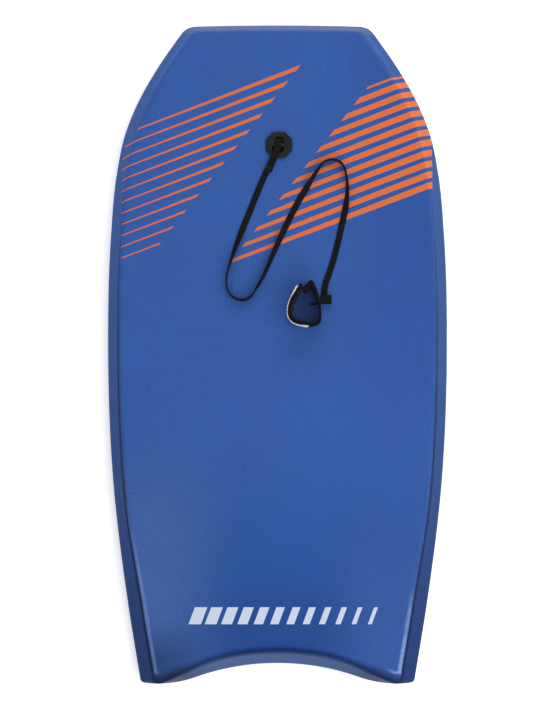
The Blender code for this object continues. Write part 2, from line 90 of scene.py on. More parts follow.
NOSE_BOW = 2.4 * MM
NOSE_FALL_WIDTH = 149 * MM
NOSE_CORNER_RADIUS = 30 * MM
NOSE_CORNER_TANGENT = 0.513  # of half the corner's turn
NOSE_CORNER_SHRINK = 0.6  # of its radius, for each unit of inset
NOSE_SHARE = 0.68  # the nose edge slopes less than the sides do
TAIL_CORNER_RADIUS = 7.5 * MM
TAIL_CORNER_TANGENT = 0.713
TAIL_CORNER_GROWTH = 0.3
PEG_X = 190 * MM
ARCH_DEPTH = 32.5 * MM
ARCH_RADIUS = 395 * MM
PEG_RADIUS = (PEG_X**2 + ARCH_DEPTH**2) / (2 * ARCH_DEPTH) - ARCH_RADIUS
ARCH_Y = -HALF_LENGTH + ARCH_DEPTH - ARCH_RADIUS  # centre of the tail's hollow arc
PEG_Y = -HALF_LENGTH + PEG_RADIUS
TAIL_TAPER = (40 * MM, 186 * MM)  # from where to where the tail edge gets steeper, up to the pegs
TAPER_SHARE = 0.95
TAPER_POWER = 3.2
TAIL_WIDENING = 0.25  # how much wider the edge strips look at the tail
WIDENING_SPAN = (-240 * MM, -420 * MM)
WIDEST = 274.9  # half the width of the side line below, in mm
# (distance towards the nose, half-width) of the side line, in mm
SIDE_LINE = [
    (-533.5, 219), (-404, 240.7), (-209, 265.3), (10, 274.7), (190, 270.9),
    (290, 262), (356, 248.5), (414, 224.8), (463, 196.7), (533.5, 147.2),
]
ROCKER_START = 356 * MM
ROCKER_BOTTOM_RISE = 12 * MM
ROCKER_DECK_RISE = 8 * MM
# Edges of the layers in section: (inset from the outline, height), in mm
RAIL_FACE = [
    (6.5, 1.3), (3, 8), (0.9, 15), (0, 21), (0.7, 25.5), (4.4, 31), (9.2, 37.4), (16.2, 46.9), (17.6, 48.3),
]
RAIL_BACK = [(19.2, 48.7), (27, 48.7), (9.6, 22), (14, 1.3)]
DECK_EDGE = [
    (21.6, 49), (20.2, 49.1), (19.5, 49.6), (19.3, 50.4), (19.5, 51.4), (20.1, 52.3),
    (21.1, 53.1), (22.5, 53.6), (24.4, 53.9), (27.0, 54), (33, 54),
]
SLICK_EDGE = [(8.6, 0), (7.7, 0.08), (7.15, 0.35), (7, 0.7), (7.1, 1.0)]

NOSE_STEPS = 24
NOSE_CORNER_STEPS = 12
SIDE_STEPS = 150
TAIL_CORNER_STEPS = 14
TAIL_STEPS = 76
NOSE_JOINT = NOSE_STEPS + NOSE_CORNER_STEPS
PEG_STEPS = 9  # how far the side strips run round the tail's pegs
TAIL_JOINT = NOSE_JOINT + SIDE_STEPS + TAIL_CORNER_STEPS + PEG_STEPS
HALF_STEPS = NOSE_JOINT + SIDE_STEPS + TAIL_CORNER_STEPS + TAIL_STEPS

# ---- leash ---------------------------------------------------------------------------------------

WEB_WIDTH = 10 * MM
WEB_THICKNESS = 1.6 * MM
WEB_STEP = 2 * MM
BAR_RADIUS = 2.5 * MM
WRAP_RADIUS = BAR_RADIUS + GAP + WEB_THICKNESS / 2
FOLD_LENGTH = 45 * MM
# Where the webbing runs on the deck, from the plug's bar to the cuff, in mm
WEB_PLAN = [
    (0.5, 333), (-2.6, 321), (-7.2, 311), (-13, 299), (-25.8, 272), (-42.7, 230), (-59.8, 187),
    (-73, 151), (-81, 123), (-82, 106), (-77.5, 92), (-67, 83), (-56, 80.8), (-46, 84.5), (-38, 93),
    (-22, 121), (-7.2, 155), (12, 198), (31.6, 237), (50.5, 269), (68, 296.5), (77.5, 306), (90, 308.8),
    (102, 304), (109, 292.5), (112.6, 270), (112, 248), (108.8, 225), (103.8, 203), (98.5, 179),
    (91, 149), (84.4, 128), (78.6, 112), (75.8, 99), (75.2, 78),
]
# (distance along the webbing in mm, degrees it leans up on its edge)
WEB_LEAN = [
    (0, 0), (140, 0), (183, 46), (209, 70), (235, 83), (258, 83), (284, 69), (307, 82), (320, 69),
    (359, 56), (404, 28), (425, 0), (489, 0), (508, 52), (534, 68), (545, 80), (600, 79), (612, 68),
    (635, 50), (656, 0), (900, 0),
]
# (distance from the bar, height over the deck) of the folded layer and of the layer on top, in mm
FOLDED_LAYER = [(45, 1.1), (37, 1.1), (30.5, 1.1), (25.6, 3.0), (21.9, 5.1), (12.2, 5.1)]
TOP_LAYER = [
    (0, 5.1), (6, 6.1), (13, 7.0), (22.6, 7.0), (26.9, 4.6), (31.2, 3.0), (47, 3.0), (53, 1.1), (58, 1.1),
]
FOLD_TANGENT = math.radians(35)
FOLD_SKEW = 3.0 * MM  # the folded layer's end lies this far to one side
WRAP_STEPS = 14
# Distances along the webbing where its three pieces meet, each in the middle of a straight leg
MIDDLE_SPLIT = 410 * MM
CUFF_SPLIT = 700 * MM

# Cuff bands, standing on their edges: (x, y) of their middles in mm, anticlockwise, so out is to their right
FLAP_LINE = [
    (31.7, 102), (26, 91.6), (20.9, 82.5), (17.3, 73.5), (15.4, 64), (15.8, 53.5),
    (20, 45.2), (27.5, 40), (37, 37.3), (44.5, 36.4), (49.6, 36.2),
]
FLAP_THICKNESS = [4.2, 3.4, 1.8, 1.6, 1.6, 1.6, 1.6, 1.6, 1.8, 3.2, 4.0]
PAD_THICKNESS = 5.5 * MM
PAD_LINE = [
    (37.8, 104.4), (33.4, 94), (27.6, 83.4), (22.7, 73), (20, 63), (20.8, 54.5), (25.2, 48.4),
    (33, 43.9), (44, 41.6), (54, 41.2), (60.5, 42.6), (64, 45.6), (65.2, 49.6),
]
SIDE_BAND_LINE = [
    (50.4, 36.3), (56, 36.9), (61.5, 38.3), (66, 40.6), (68.6, 44.6), (69, 50), (69.1, 58), (68.6, 67),
    (66.5, 78), (63.4, 88), (59.6, 97.4), (56, 105.4), (53.2, 108.4), (50.4, 105.2), (47.2, 100.6),
    (43.8, 97.2), (40.6, 94.8),
]
SIDE_BAND_THICKNESS = [2.6, 2.3, 2.3, 2.3, 2.4, 2.4, 2.5, 2.8, 3.6, 4.8, 6.4, 6.8, 6.2, 7.8, 9.4, 9.4, 8.2]
TAIL_LINE = [(51.8, 73.2), (58, 72.4), (66.2, 73.0)]
BAND_LOW = 1.5 * MM  # the thin bands' lower edge over the deck
FLARE = 0.055  # how far the cuff's walls lean out for each unit of height; the lines above are its rim


def srgb(red, green, blue):
    """Linear colour of an 8-bit screen colour."""
    def linear(value):
        share = value / 255
        return share / 12.92 if share <= 0.04045 else ((share + 0.055) / 1.055) ** 2.4

    return (linear(red), linear(green), linear(blue), 1.0)


# ---- materials -----------------------------------------------------------------------------------


class Graph:
    """A material's nodes, with short calls for joining them."""

    def __init__(self, name, roughness=0.6, specular=None, sheen=None):
        self.material = bpy.data.materials.new(name)
        self.material.use_nodes = True
        self.tree = self.material.node_tree
        self.shader = self.tree.nodes["Principled BSDF"]
        presets = {"Roughness": roughness, "Specular IOR Level": specular, "Sheen Weight": sheen}
        for key, value in presets.items():
            if value is not None:
                self.shader.inputs[key].default_value = value

    def feed(self, socket, value):
        if isinstance(value, bpy.types.NodeSocket):
            self.tree.links.new(value, socket)
        else:
            socket.default_value = value

    def node(self, kind, inputs, **settings):
        node = self.tree.nodes.new(kind)
        for key, value in settings.items():
            setattr(node, key, value)
        for key, value in inputs.items():
            self.feed(node.inputs[key], value)
        return node

    def maths(self, operation, *values):
        return self.node("ShaderNodeMath", dict(enumerate(values)), operation=operation).outputs[0]

    def add(self, a, b):
        return self.maths("ADD", a, b)

    def times(self, *values):
        return functools.reduce(lambda a, b: self.maths("MULTIPLY", a, b), values)

    def rest(self, share):
        """What a share leaves of 1."""
        return self.add(1.0, self.times(share, -1.0))

    def patch(self, x, y, across, along):
        """0 to 1 across x and along y, each from the first to the second number; across may be None."""
        share = self.smooth(y, *along)
        return self.times(share, self.smooth(x, *across)) if across else share

    def most(self, a, b):
        return self.maths("MAXIMUM", a, b)

    def less(self, a, b):
        return self.maths("LESS_THAN", a, b)

    def between(self, value, low, high):
        return self.times(self.maths("GREATER_THAN", value, low), self.less(value, high))

    def ramp(self, value, low, high, at_low=0.0, at_high=1.0, kind="LINEAR"):
        """value from low..high to at_low..at_high, held at the ends."""
        inputs = {0: value, 1: low, 2: high, 3: at_low, 4: at_high}
        return self.node("ShaderNodeMapRange", inputs, interpolation_type=kind).outputs[0]

    def smooth(self, *values):
        return self.ramp(*values, kind="SMOOTHSTEP")

    def swing(self, value):
        """Stripes one unit apart, from 0 to 1 and back."""
        return self.maths("ABSOLUTE", self.maths("SINE", self.times(value, math.pi)))

    def mix(self, share, a, b):
        return self.node("ShaderNodeMix", {0: share, 6: a, 7: b}, data_type="RGBA").outputs[2]

    def brighter(self, colour, factor):
        """colour times a number."""
        grey = self.node("ShaderNodeCombineColor", {0: factor, 1: factor, 2: factor}).outputs[0]
        inputs = {0: 1.0, 6: colour, 7: grey}
        return self.node("ShaderNodeMix", inputs, data_type="RGBA", blend_type="MULTIPLY").outputs[2]

    def span(self, a, b):
        """Length of the vector (a, b)."""
        return self.maths("SQRT", self.add(self.times(a, a), self.times(b, b)))

    def place(self):
        """Coordinates of a point of the object, in metres."""
        return self.node("ShaderNodeTexCoord", {}).outputs["Object"]

    def lay(self):
        """The piece's own weave coordinates: along, across and deep, in metres."""
        return self.node("ShaderNodeAttribute", {}, attribute_name="lay").outputs["Vector"]

    def parts(self, vector):
        return self.node("ShaderNodeSeparateXYZ", {0: vector}).outputs

    def noise(self, vector, size, detail=2.0, roughness=0.5):
        """Smooth noise about 0..1, with features about size metres wide."""
        inputs = {"Vector": vector, "Scale": 1 / size, "Detail": detail, "Roughness": roughness}
        return self.node("ShaderNodeTexNoise", inputs).outputs[0]

    def cells(self, vector, size, feature="F1"):
        inputs = {"Vector": vector, "Scale": 1 / size}
        return self.node("ShaderNodeTexVoronoi", inputs, feature=feature).outputs["Distance"]

    def stretched(self, vector, factors):
        inputs = {0: vector, 1: factors}
        return self.node("ShaderNodeVectorMath", inputs, operation="MULTIPLY").outputs[0]

    def finish(self, colour, roughness=None, height=None, depth=0.2 * MM, strength=1.0):
        """Joins colour, roughness and bump height to the shader, and returns the material."""
        self.feed(self.shader.inputs["Base Color"], colour)
        if roughness is not None:
            self.feed(self.shader.inputs["Roughness"], roughness)
        if height is not None:
            inputs = {"Height": height, "Distance": depth, "Strength": strength}
            bump = self.node("ShaderNodeBump", inputs)
            self.feed(self.shader.inputs["Normal"], bump.outputs[0])
        return self.material


STRIPE_SLOPE = math.radians(21)
STRIPE_PITCH = 17 * MM
STRIPE_RISE = (-252 * MM, 251 * MM)  # from where to where the stripes grow
STRIPE_SHARE = (0.10, 0.62)  # of the pitch, at those places
FIELD_SLOPE = math.radians(52)
# Two straight fields of stripes, each (left and right, near and far side of the slanted field, lowest and
# highest stripe), in mm
STRIPE_FIELDS = [
    ((-252, 251), (256, 400), (240, 452)),
    ((-252, 251), (-60, 148), (168, 372)),
]
PRINT_BOTTOM = 21 * MM  # the print wraps over the edge down to the board's widest line
DASH_SPAN = (-142 * MM, 170 * MM)
DASH_ROWS = (-438 * MM, -411 * MM)
DASH_PITCH = 26 * MM
DASH_SLANT = 0.38
ORANGE = srgb(206, 102, 50)
WHITE_INK = srgb(192, 201, 220)


def stripe_mask(g, x, y):
    """1 on the stripes of the two fields."""
    rise = math.tan(STRIPE_SLOPE)
    level = g.add(y, g.times(x, -rise))  # where a stripe through this point crosses x = 0
    phase = g.maths("FRACT", g.times(level, math.cos(STRIPE_SLOPE) / STRIPE_PITCH))
    off_centre = g.maths("ABSOLUTE", g.add(phase, -0.5))
    share = g.ramp(x, *STRIPE_RISE, STRIPE_SHARE[0] / 2, STRIPE_SHARE[1] / 2)
    stripe = g.less(off_centre, share)
    side = g.add(g.times(x, -math.sin(FIELD_SLOPE)), g.times(y, math.cos(FIELD_SLOPE)))
    fields = None
    for ends, sides, levels in STRIPE_FIELDS:
        spans = ((x, ends), (side, sides), (level, levels))
        field = g.times(*[g.between(value, low * MM, high * MM) for value, (low, high) in spans])
        fields = field if fields is None else g.most(fields, field)
    return g.times(stripe, fields)


def dash_mask(g, x, y):
    """1 on a row of slanted dashes that get narrower to the right."""
    run = g.add(x, g.times(g.add(y, -DASH_ROWS[0]), -DASH_SLANT))
    phase = g.maths("FRACT", g.times(g.add(run, -DASH_SPAN[0]), 1 / DASH_PITCH))
    share = g.ramp(run, *DASH_SPAN, 0.80, 0.20)
    row = g.between(y, *DASH_ROWS)
    return g.times(g.less(phase, share), row, g.between(run, *DASH_SPAN))


def printed(g, colour, x, y, z, grain):
    """The ink over the foam's colour, thinned where the skin's grain dips, and how much of it there is."""
    cover = g.times(g.ramp(grain, 0.30, 0.42, 0.86, 1.0), g.maths("GREATER_THAN", z, PRINT_BOTTOM))
    orange = g.times(stripe_mask(g, x, y), cover)
    white = g.times(dash_mask(g, x, y), cover)
    inked = g.mix(orange, colour, ORANGE)
    return g.mix(white, inked, WHITE_INK), g.most(orange, white)


def foam_tone(g, place):
    """Fine mottled grain of the skin: its brightness, its small grain and its coarser mottle."""
    grain = g.noise(place, 1.5 * MM, 4.0, 0.62)
    mottle = g.noise(place, 4.2 * MM, 3.0, 0.6)
    cloud = g.noise(place, 90 * MM, 3.0, 0.5)
    tone = g.add(g.ramp(grain, 0.25, 0.75, -0.16, 0.16), g.ramp(mottle, 0.25, 0.75, -0.13, 0.13))
    return g.add(tone, g.ramp(cloud, 0.3, 0.7, 0.97, 1.03)), grain, mottle


def finish_foam(g, place, colour, grain, mottle, ink=0.0, shine=0.25):
    g.feed(g.shader.inputs["Specular IOR Level"], shine)
    roughness = g.add(g.ramp(grain, 0.3, 0.7, 0.50, 0.62), g.times(ink, -0.08))
    pebble = g.cells(place, 1.4 * MM, "SMOOTH_F1")
    height = g.add(g.add(g.times(grain, 0.5), g.times(mottle, 0.8)), g.times(pebble, -0.5))
    return g.finish(colour, roughness, height, 0.35 * MM, 0.55)


def above_tail_edge(g, x, y):
    """How far a point of the deck is from the tail's edge strip."""
    away = g.maths("ABSOLUTE", x)
    from_arch = g.add(g.span(x, g.add(y, -ARCH_Y)), -ARCH_RADIUS)
    from_peg = g.add(PEG_RADIUS, g.times(g.span(g.add(away, -PEG_X), g.add(y, -PEG_Y)), -1.0))
    at_peg = g.maths("GREATER_THAN", away, PEG_X * ARCH_RADIUS / (ARCH_RADIUS + PEG_RADIUS))
    inset = g.add(from_arch, g.times(at_peg, g.add(from_peg, g.times(from_arch, -1.0))))
    steep = g.times(g.maths("POWER", g.ramp(away, *TAIL_TAPER), TAPER_POWER), TAPER_SHARE)
    strip = g.times(g.rest(steep), DECK_EDGE[0][0] * MM)
    return g.add(inset, g.times(strip, -1.0))


# Tints laid over the deck in turn, darker towards the tail and on the right; the lighter one at the lower
# left is a painted broad reflection: (colour, from where to where it grows along y, and along x)
DECK_MIDDLE = srgb(40, 81, 153)
DECK_BY_TAIL = srgb(20, 69, 140)
DECK_TINTS_AND_SHEEN = [
    (srgb(32, 74, 146), (-0.25, 0.05), (0.04, 0.22)),
    (srgb(16, 62, 132), (-0.36, -0.47), None),
    (srgb(53, 87, 150), (-0.10, -0.30), (-0.05, -0.19)),
    (srgb(40, 78, 147), (-0.22, -0.40), (0.04, 0.17)),
]
# Colour of the painted highlight along the deck's side edges
EDGE_HIGHLIGHT = srgb(142, 164, 218)


def deck_material():
    """Foam skin of the deck: tints, prints, and painted light and shade: a broad reflection, shade on the
    turned-down edges and by the tail, and a highlight along the side edges.
    """
    g = Graph("deck_foam_skin")
    place = g.place()
    x, y, z = g.parts(place)
    away = g.maths("ABSOLUTE", x)
    tone, grain, mottle = foam_tone(g, place)
    base = g.mix(g.smooth(y, -0.47, -0.10), DECK_BY_TAIL, DECK_MIDDLE)
    for tint, along, across in DECK_TINTS_AND_SHEEN:
        base = g.mix(g.patch(x, y, across, along), base, tint)
    colour, ink = printed(g, g.brighter(base, tone), x, y, z, grain)

    # Painted shade on the side edges, deepening away from the nose and ending before the tail; near the nose
    # it is painted light
    turned = g.smooth(z, DECK - 0.15 * MM, DECK - 2.6 * MM)
    edge_shade = g.smooth(y, 0.34, -0.10, -0.15, 0.52)
    left_end = g.smooth(y, -0.18, -0.30, 1.0, 0.25)
    right_end = g.smooth(y, -0.36, -0.44, 1.0, 0.35)
    at_right = g.smooth(x, -0.1, 0.1)
    ends = g.add(left_end, g.times(at_right, g.add(right_end, g.times(left_end, -1.0))))
    colour = g.brighter(colour, g.rest(g.times(turned, edge_shade, ends)))
    # Painted shade where the sheet rolls down towards the tail's pegs
    above = above_tail_edge(g, x, y)
    roll_width = g.smooth(away, 0.12, 0.17, 10 * MM, 21 * MM)
    rolled_shade = g.times(g.smooth(above, roll_width, 0.5 * MM), g.smooth(y, -0.43, -0.46))
    depth = g.smooth(away, 0.10, 0.17, 0.52, 0.74)
    colour = g.brighter(colour, g.rest(g.times(rolled_shade, depth)))
    # Painted shade in the deck's lower left corner, by the tail
    left_corner_shade = g.patch(x, y, (-0.08, -0.20), (-0.42, -0.50))
    colour = g.brighter(colour, g.rest(g.times(left_corner_shade, 0.45)))

    # Painted highlight along the crest of the side edges by the tail, and on the right corner's curl
    upward = g.smooth(z, DECK - 2.2 * MM, DECK - 0.9 * MM)
    level = g.smooth(z, DECK - 0.01 * MM, DECK - 0.2 * MM)
    from_left = g.patch(x, y, (-0.1, -0.15, 0.0, 0.30), (-0.27, -0.36))
    from_right = g.patch(x, y, (0.1, 0.15), (-0.37, -0.43, 0.0, 0.40))
    from_right = g.times(from_right, g.smooth(y, -0.45, -0.48, 1.0, 1.5))
    crest = g.times(upward, level, g.most(from_left, from_right), g.smooth(above, 13 * MM, 19 * MM))
    curl = g.times(g.smooth(above, 14 * MM, 17 * MM), g.smooth(above, 22 * MM, 18.5 * MM))
    curl = g.times(curl, g.smooth(x, 0.168, 0.192, 0.0, 0.5), g.less(y, -0.46))
    painted_edge_highlight = g.times(g.most(crest, curl), g.smooth(mottle, 0.30, 0.55, 0.6, 1.0))
    colour = g.mix(painted_edge_highlight, colour, EDGE_HIGHLIGHT)
    shine = g.add(0.25, g.times(g.most(rolled_shade, left_corner_shade), -0.18))
    return finish_foam(g, place, colour, grain, mottle, ink, shine)


def strip_material(
    name, near_nose, near_tail, shine, print_on=True, pegs_painted_shade=0.0, right_painted_brightness=1.0, painted_nose_light=0.0
):
    """Foam skin of an edge strip, lighter from the tail towards the nose as painted light, with painted shade
    in the crease along its upper edge, where the deck sheet meets it, that deepens towards the tail.

    pegs_painted_shade is painted shade towards the tail's pegs, right_painted_brightness is a painted
    brightness of the right side, and painted_nose_light is painted light near the nose, over the whole strip
    at half strength and on the crease along its upper edge.
    """
    g = Graph(name)
    place = g.place()
    x, y, z = g.parts(place)
    tone, grain, mottle = foam_tone(g, place)
    # Painted light and shade: lighter towards the nose, with the right side and the ends by the pegs painted
    # darker
    base = g.mix(g.ramp(y, -HALF_LENGTH, 0.0), near_tail, near_nose)
    base = g.brighter(base, g.smooth(x, 0.10, 0.20, 1.0, right_painted_brightness))
    base = g.brighter(base, g.smooth(y, 0.05, 0.32, 1.0, 1.0 + painted_nose_light / 2))
    at_pegs = g.times(g.smooth(g.maths("ABSOLUTE", x), 0.095, 0.165), g.less(y, 0.0))
    colour = g.brighter(base, g.times(tone, g.rest(g.times(at_pegs, pegs_painted_shade))))
    ink = 0.0
    if print_on:
        colour, ink = printed(g, colour, x, y, z, grain)
    # Painted shade in the crease along the upper edge, deepening towards the tail; near the nose it is
    # painted light
    crease_shade = g.smooth(z, DECK - 9.5 * MM, DECK - 6.2 * MM)
    colour = g.brighter(colour, g.add(1.0, g.times(crease_shade, g.smooth(y, 0.34, -0.10, painted_nose_light, -0.38))))
    rubbed = g.times(g.smooth(z, 6 * MM, 1.5 * MM), g.smooth(mottle, 0.50, 0.62))
    colour = g.mix(g.times(rubbed, 0.25), colour, srgb(150, 166, 196))
    return finish_foam(g, place, colour, grain, mottle, ink, shine)


def slick_material():
    """Smooth plastic sheet with a shallow pebble and long rubbing marks."""
    g = Graph("slick_sheet")
    place = g.place()
    streaks = g.noise(g.stretched(place, (1, 0.035, 1)), 2.2 * MM, 3.0, 0.6)
    pebble = g.cells(place, 1.6 * MM, "SMOOTH_F1")
    cloud = g.noise(place, 120 * MM, 2.0)
    tone = g.add(g.ramp(cloud, 0.3, 0.7, 0.95, 1.05), g.ramp(streaks, 0.60, 0.80, 0.0, 0.12))
    colour = g.brighter(srgb(52, 82, 148), tone)
    roughness = g.ramp(streaks, 0.45, 0.75, 0.26, 0.46)
    height = g.add(g.times(pebble, 0.5), g.times(streaks, 0.25))
    return g.finish(colour, roughness, height, 0.08 * MM, 0.5)


def bead_material():
    """White bead foam, as the core shows where it is cut."""
    g = Graph("bead_foam", 0.85)
    place = g.place()
    beads = g.cells(place, 4 * MM)
    edges = g.cells(place, 4 * MM, "DISTANCE_TO_EDGE")
    colour = g.mix(g.ramp(edges, 0.0, 0.12), srgb(205, 207, 204), srgb(240, 241, 238))
    return g.finish(colour, None, g.times(beads, -1.0), 0.5 * MM, 0.6)


def moulded_material(name, colour):
    """Moulded plastic with a spark-eroded texture."""
    g = Graph(name, specular=0.24)
    place = g.place()
    erosion = g.noise(place, 0.45 * MM, 3.0, 0.7)
    cloud = g.noise(place, 6 * MM, 2.0)
    tone = g.add(g.ramp(erosion, 0.3, 0.7, 0.80, 1.15), g.ramp(cloud, 0.3, 0.7, -0.06, 0.10))
    roughness = g.ramp(erosion, 0.3, 0.7, 0.38, 0.55)
    return g.finish(g.brighter(colour, tone), roughness, erosion, 0.06 * MM, 0.6)


def woven_material(name, dark, light, warp, weft, depth=0.22 * MM):
    """Plain weave along the piece's own coordinates, with a painted highlight in the light colour on each
    yarn's crown.
    """
    g = Graph(name, specular=0.12, sheen=0.03)
    lay = g.lay()
    place = g.place()
    along, across, _ = g.parts(lay)
    wander = g.ramp(g.noise(place, 3 * MM, 2.0), 0.0, 1.0, -0.16, 0.16)
    u = g.add(g.times(along, 1 / weft), wander)
    v = g.times(across, 1 / warp)
    pick, end = g.swing(u), g.swing(v)
    cell = g.maths("FLOORED_MODULO", g.add(g.maths("FLOOR", u), g.maths("FLOOR", v)), 2.0)
    over = g.times(cell, g.times(end, g.ramp(pick, 0.0, 1.0, 0.45, 1.0)))
    under = g.times(g.rest(cell), pick, g.ramp(end, 0.0, 1.0, 0.45, 1.0))
    weave = g.add(over, under)
    fibres = g.noise(g.stretched(lay, (1, 6, 1)), 0.5 * MM, 2.0)
    crown = g.times(g.smooth(weave, 0.45, 1.0), g.ramp(fibres, 0.3, 0.7, 0.55, 1.0))
    # Painted highlight: each yarn's crown takes the light colour
    colour = g.mix(crown, dark, light)
    height = g.add(weave, g.times(fibres, 0.15))
    return g.finish(colour, g.ramp(crown, 0.0, 1.0, 0.80, 0.58), height, depth, 0.8)


WALE = 1.1 * MM
COURSE = 0.9 * MM


def knit_material():
    """Fine black jersey over foam, with wales that run up the band."""
    g = Graph("pad_jersey", 0.85, specular=0.1, sheen=0.05)
    lay = g.lay()
    along, across, _ = g.parts(lay)
    wale = g.swing(g.times(along, 1 / WALE))
    lean = g.times(wale, 0.35 * MM)
    course = g.maths("SINE", g.times(g.add(across, lean), 2 * math.pi / COURSE))
    height = g.add(wale, g.times(course, 0.35))
    fluff = g.noise(g.place(), 0.8 * MM, 3.0, 0.7)
    colour = g.mix(g.times(g.smooth(height, 0.2, 1.2), fluff), srgb(4, 4, 5), srgb(27, 27, 28))
    return g.finish(colour, None, height, 0.18 * MM, 0.7)


def loop_material():
    """Light brushed loop fabric, a little soiled in patches."""
    g = Graph("loop_fabric", 0.9, sheen=0.25)
    place = g.place()
    lay = g.lay()
    loops = g.cells(place, 0.9 * MM, "SMOOTH_F1")
    tufts = g.noise(place, 2.4 * MM, 3.0, 0.65)
    soil = g.noise(lay, 11 * MM, 3.0, 0.6)
    light = g.mix(g.ramp(tufts, 0.3, 0.7), srgb(176, 172, 170), srgb(224, 221, 219))
    colour = g.mix(g.times(g.smooth(soil, 0.5, 0.72), 0.4), light, srgb(120, 114, 112))
    return g.finish(colour, None, g.add(g.times(loops, -1.0), tufts), 0.3 * MM, 0.7)


def hook_material():
    """Rows of small black plastic hooks."""
    g = Graph("hook_tape", 0.45, specular=0.3)
    lay = g.lay()
    hooks = g.cells(lay, 1.1 * MM)
    colour = g.mix(g.smooth(hooks, 0.25, 0.6), srgb(34, 34, 36), srgb(8, 8, 9))
    return g.finish(colour, None, g.times(hooks, -1.0), 0.5 * MM, 0.9)


def thread_material(name, dark, light):
    """Twisted polyester thread."""
    g = Graph(name, 0.5, specular=0.2)
    lay = g.lay()
    along, across, _ = g.parts(lay)
    ply = g.maths("SINE", g.times(g.add(along, across), 2 * math.pi / (0.45 * MM)))
    colour = g.mix(g.ramp(ply, -1.0, 1.0), dark, light)
    return g.finish(colour, None, ply, 0.06 * MM, 0.6)


FLOOR_GLOW = 0.34  # like a light table's, it keeps the shadows pale


def floor_material():
    g = Graph("studio_floor", 0.9)
    tone = g.ramp(g.noise(g.place(), 0.6, 2.0), 0.3, 0.7, 0.99, 1.01)
    g.feed(g.shader.inputs["Emission Color"], (1, 1, 1, 1))
    g.feed(g.shader.inputs["Emission Strength"], FLOOR_GLOW)
    return g.finish(g.brighter(srgb(252, 252, 252), tone))


# ---- meshes --------------------------------------------------------------------------------------


@contextlib.contextmanager
def edited(mesh):
    """A BMesh of the mesh, which is written back at the end."""
    bm = bmesh.new()
    bm.from_mesh(mesh)
    yield bm
    bm.to_mesh(mesh)
    bm.free()


def placed(name, data):
    """A new object in the scene."""
    item = bpy.data.objects.new(name, data)
    bpy.context.scene.collection.objects.link(item)
    return item


def shade(mesh, sharp_angle):
    mesh.shade_smooth()
    mesh.set_sharp_from_angle(angle=math.radians(sharp_angle))


SHARP_ANGLE = 38


def add_piece(name, points, faces, material, lay=None, sharp_angle=SHARP_ANGLE):
    """Makes an object from points and faces. lay holds each point's own weave coordinates."""
    mesh = bpy.data.meshes.new(name)
    mesh.from_pydata(np.asarray(points).tolist(), [], faces)
    if lay is not None:
        attribute = mesh.attributes.new("lay", "FLOAT_VECTOR", "POINT")
        attribute.data.foreach_set("vector", np.asarray(lay, np.float32).ravel())
    with edited(mesh) as bm:
        bmesh.ops.recalc_face_normals(bm, faces=bm.faces)
    shade(mesh, sharp_angle)
    mesh.materials.append(material)
    piece = placed(name, mesh)
    return piece


def settle(piece, body, node=None):
    """Rides the piece on a body, and lets it stand for a CAD node."""
    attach(piece, body)
    if node:
        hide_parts(node)
    return piece


def loft(rings):
    """Points and faces of a closed body through an array of closed rings (ring, point, xyz)."""
    rings = np.asarray(rings, float)
    count, size = rings.shape[:2]
    grid = np.arange(count * size).reshape(count, size)
    near, far = grid[:-1], grid[1:]
    quads = np.stack([near, np.roll(near, -1, 1), np.roll(far, -1, 1), far], axis=-1)
    faces = quads.reshape(-1, 4).tolist() + [grid[0][::-1].tolist(), grid[-1].tolist()]
    return rings.reshape(-1, 3), faces


def joined(bodies):
    """Points and faces of several bodies in one list."""
    points, faces, start = [], [], 0
    for body_points, body_faces in bodies:
        points.append(body_points)
        faces += [[index + start for index in face] for face in body_faces]
        start += len(body_points)
    return np.concatenate(points), faces


def lengths(points):
    return np.concatenate(([0], np.cumsum(np.linalg.norm(np.diff(points, axis=0), axis=1))))


def sampled(path, values, distances):
    """Rows of values, which has one for each point of a path, at distances along that path."""
    run = lengths(path)
    return np.stack([np.interp(distances, run, column) for column in np.transpose(values)], axis=1)


def along(points, distances):
    return sampled(points, points, distances)


def even_steps(points, count, start=0.0, end=0.0):
    """count + 1 evenly spaced points, leaving out a length at the start and at the end."""
    return along(points, np.linspace(start, lengths(points)[-1] - end, count + 1))


def smooth_path(knots, step):
    """Evenly spaced points on a smooth curve through the knots."""
    knots = np.array(knots, float)
    padded = np.concatenate(([2 * knots[0] - knots[1]], knots, [2 * knots[-1] - knots[-2]]))
    pieces = []
    for a, b, c, d in zip(padded, padded[1:], padded[2:], padded[3:]):
        t = np.linspace(0, 1, 16, endpoint=False)[:, None]
        pieces.append(
            0.5 * (2 * b + (c - a) * t + (2 * a - 5 * b + 4 * c - d) * t**2 + (3 * b - a - 3 * c + d) * t**3)
        )
    fine = np.concatenate(pieces + [knots[-1:]])
    return even_steps(fine, max(1, round(lengths(fine)[-1] / step)))


def unit(vectors):
    return vectors / np.linalg.norm(vectors, axis=1)[:, None]


def wobble(points, size, seed=0.0):
    """Smooth noise from -1 to 1 at each point, with features about size wide."""
    shift = Vector((seed, 2 * seed, -seed))
    return np.array([noise.noise(Vector(point) / size + shift) for point in points])


# ---- outline -------------------------------------------------------------------------------------


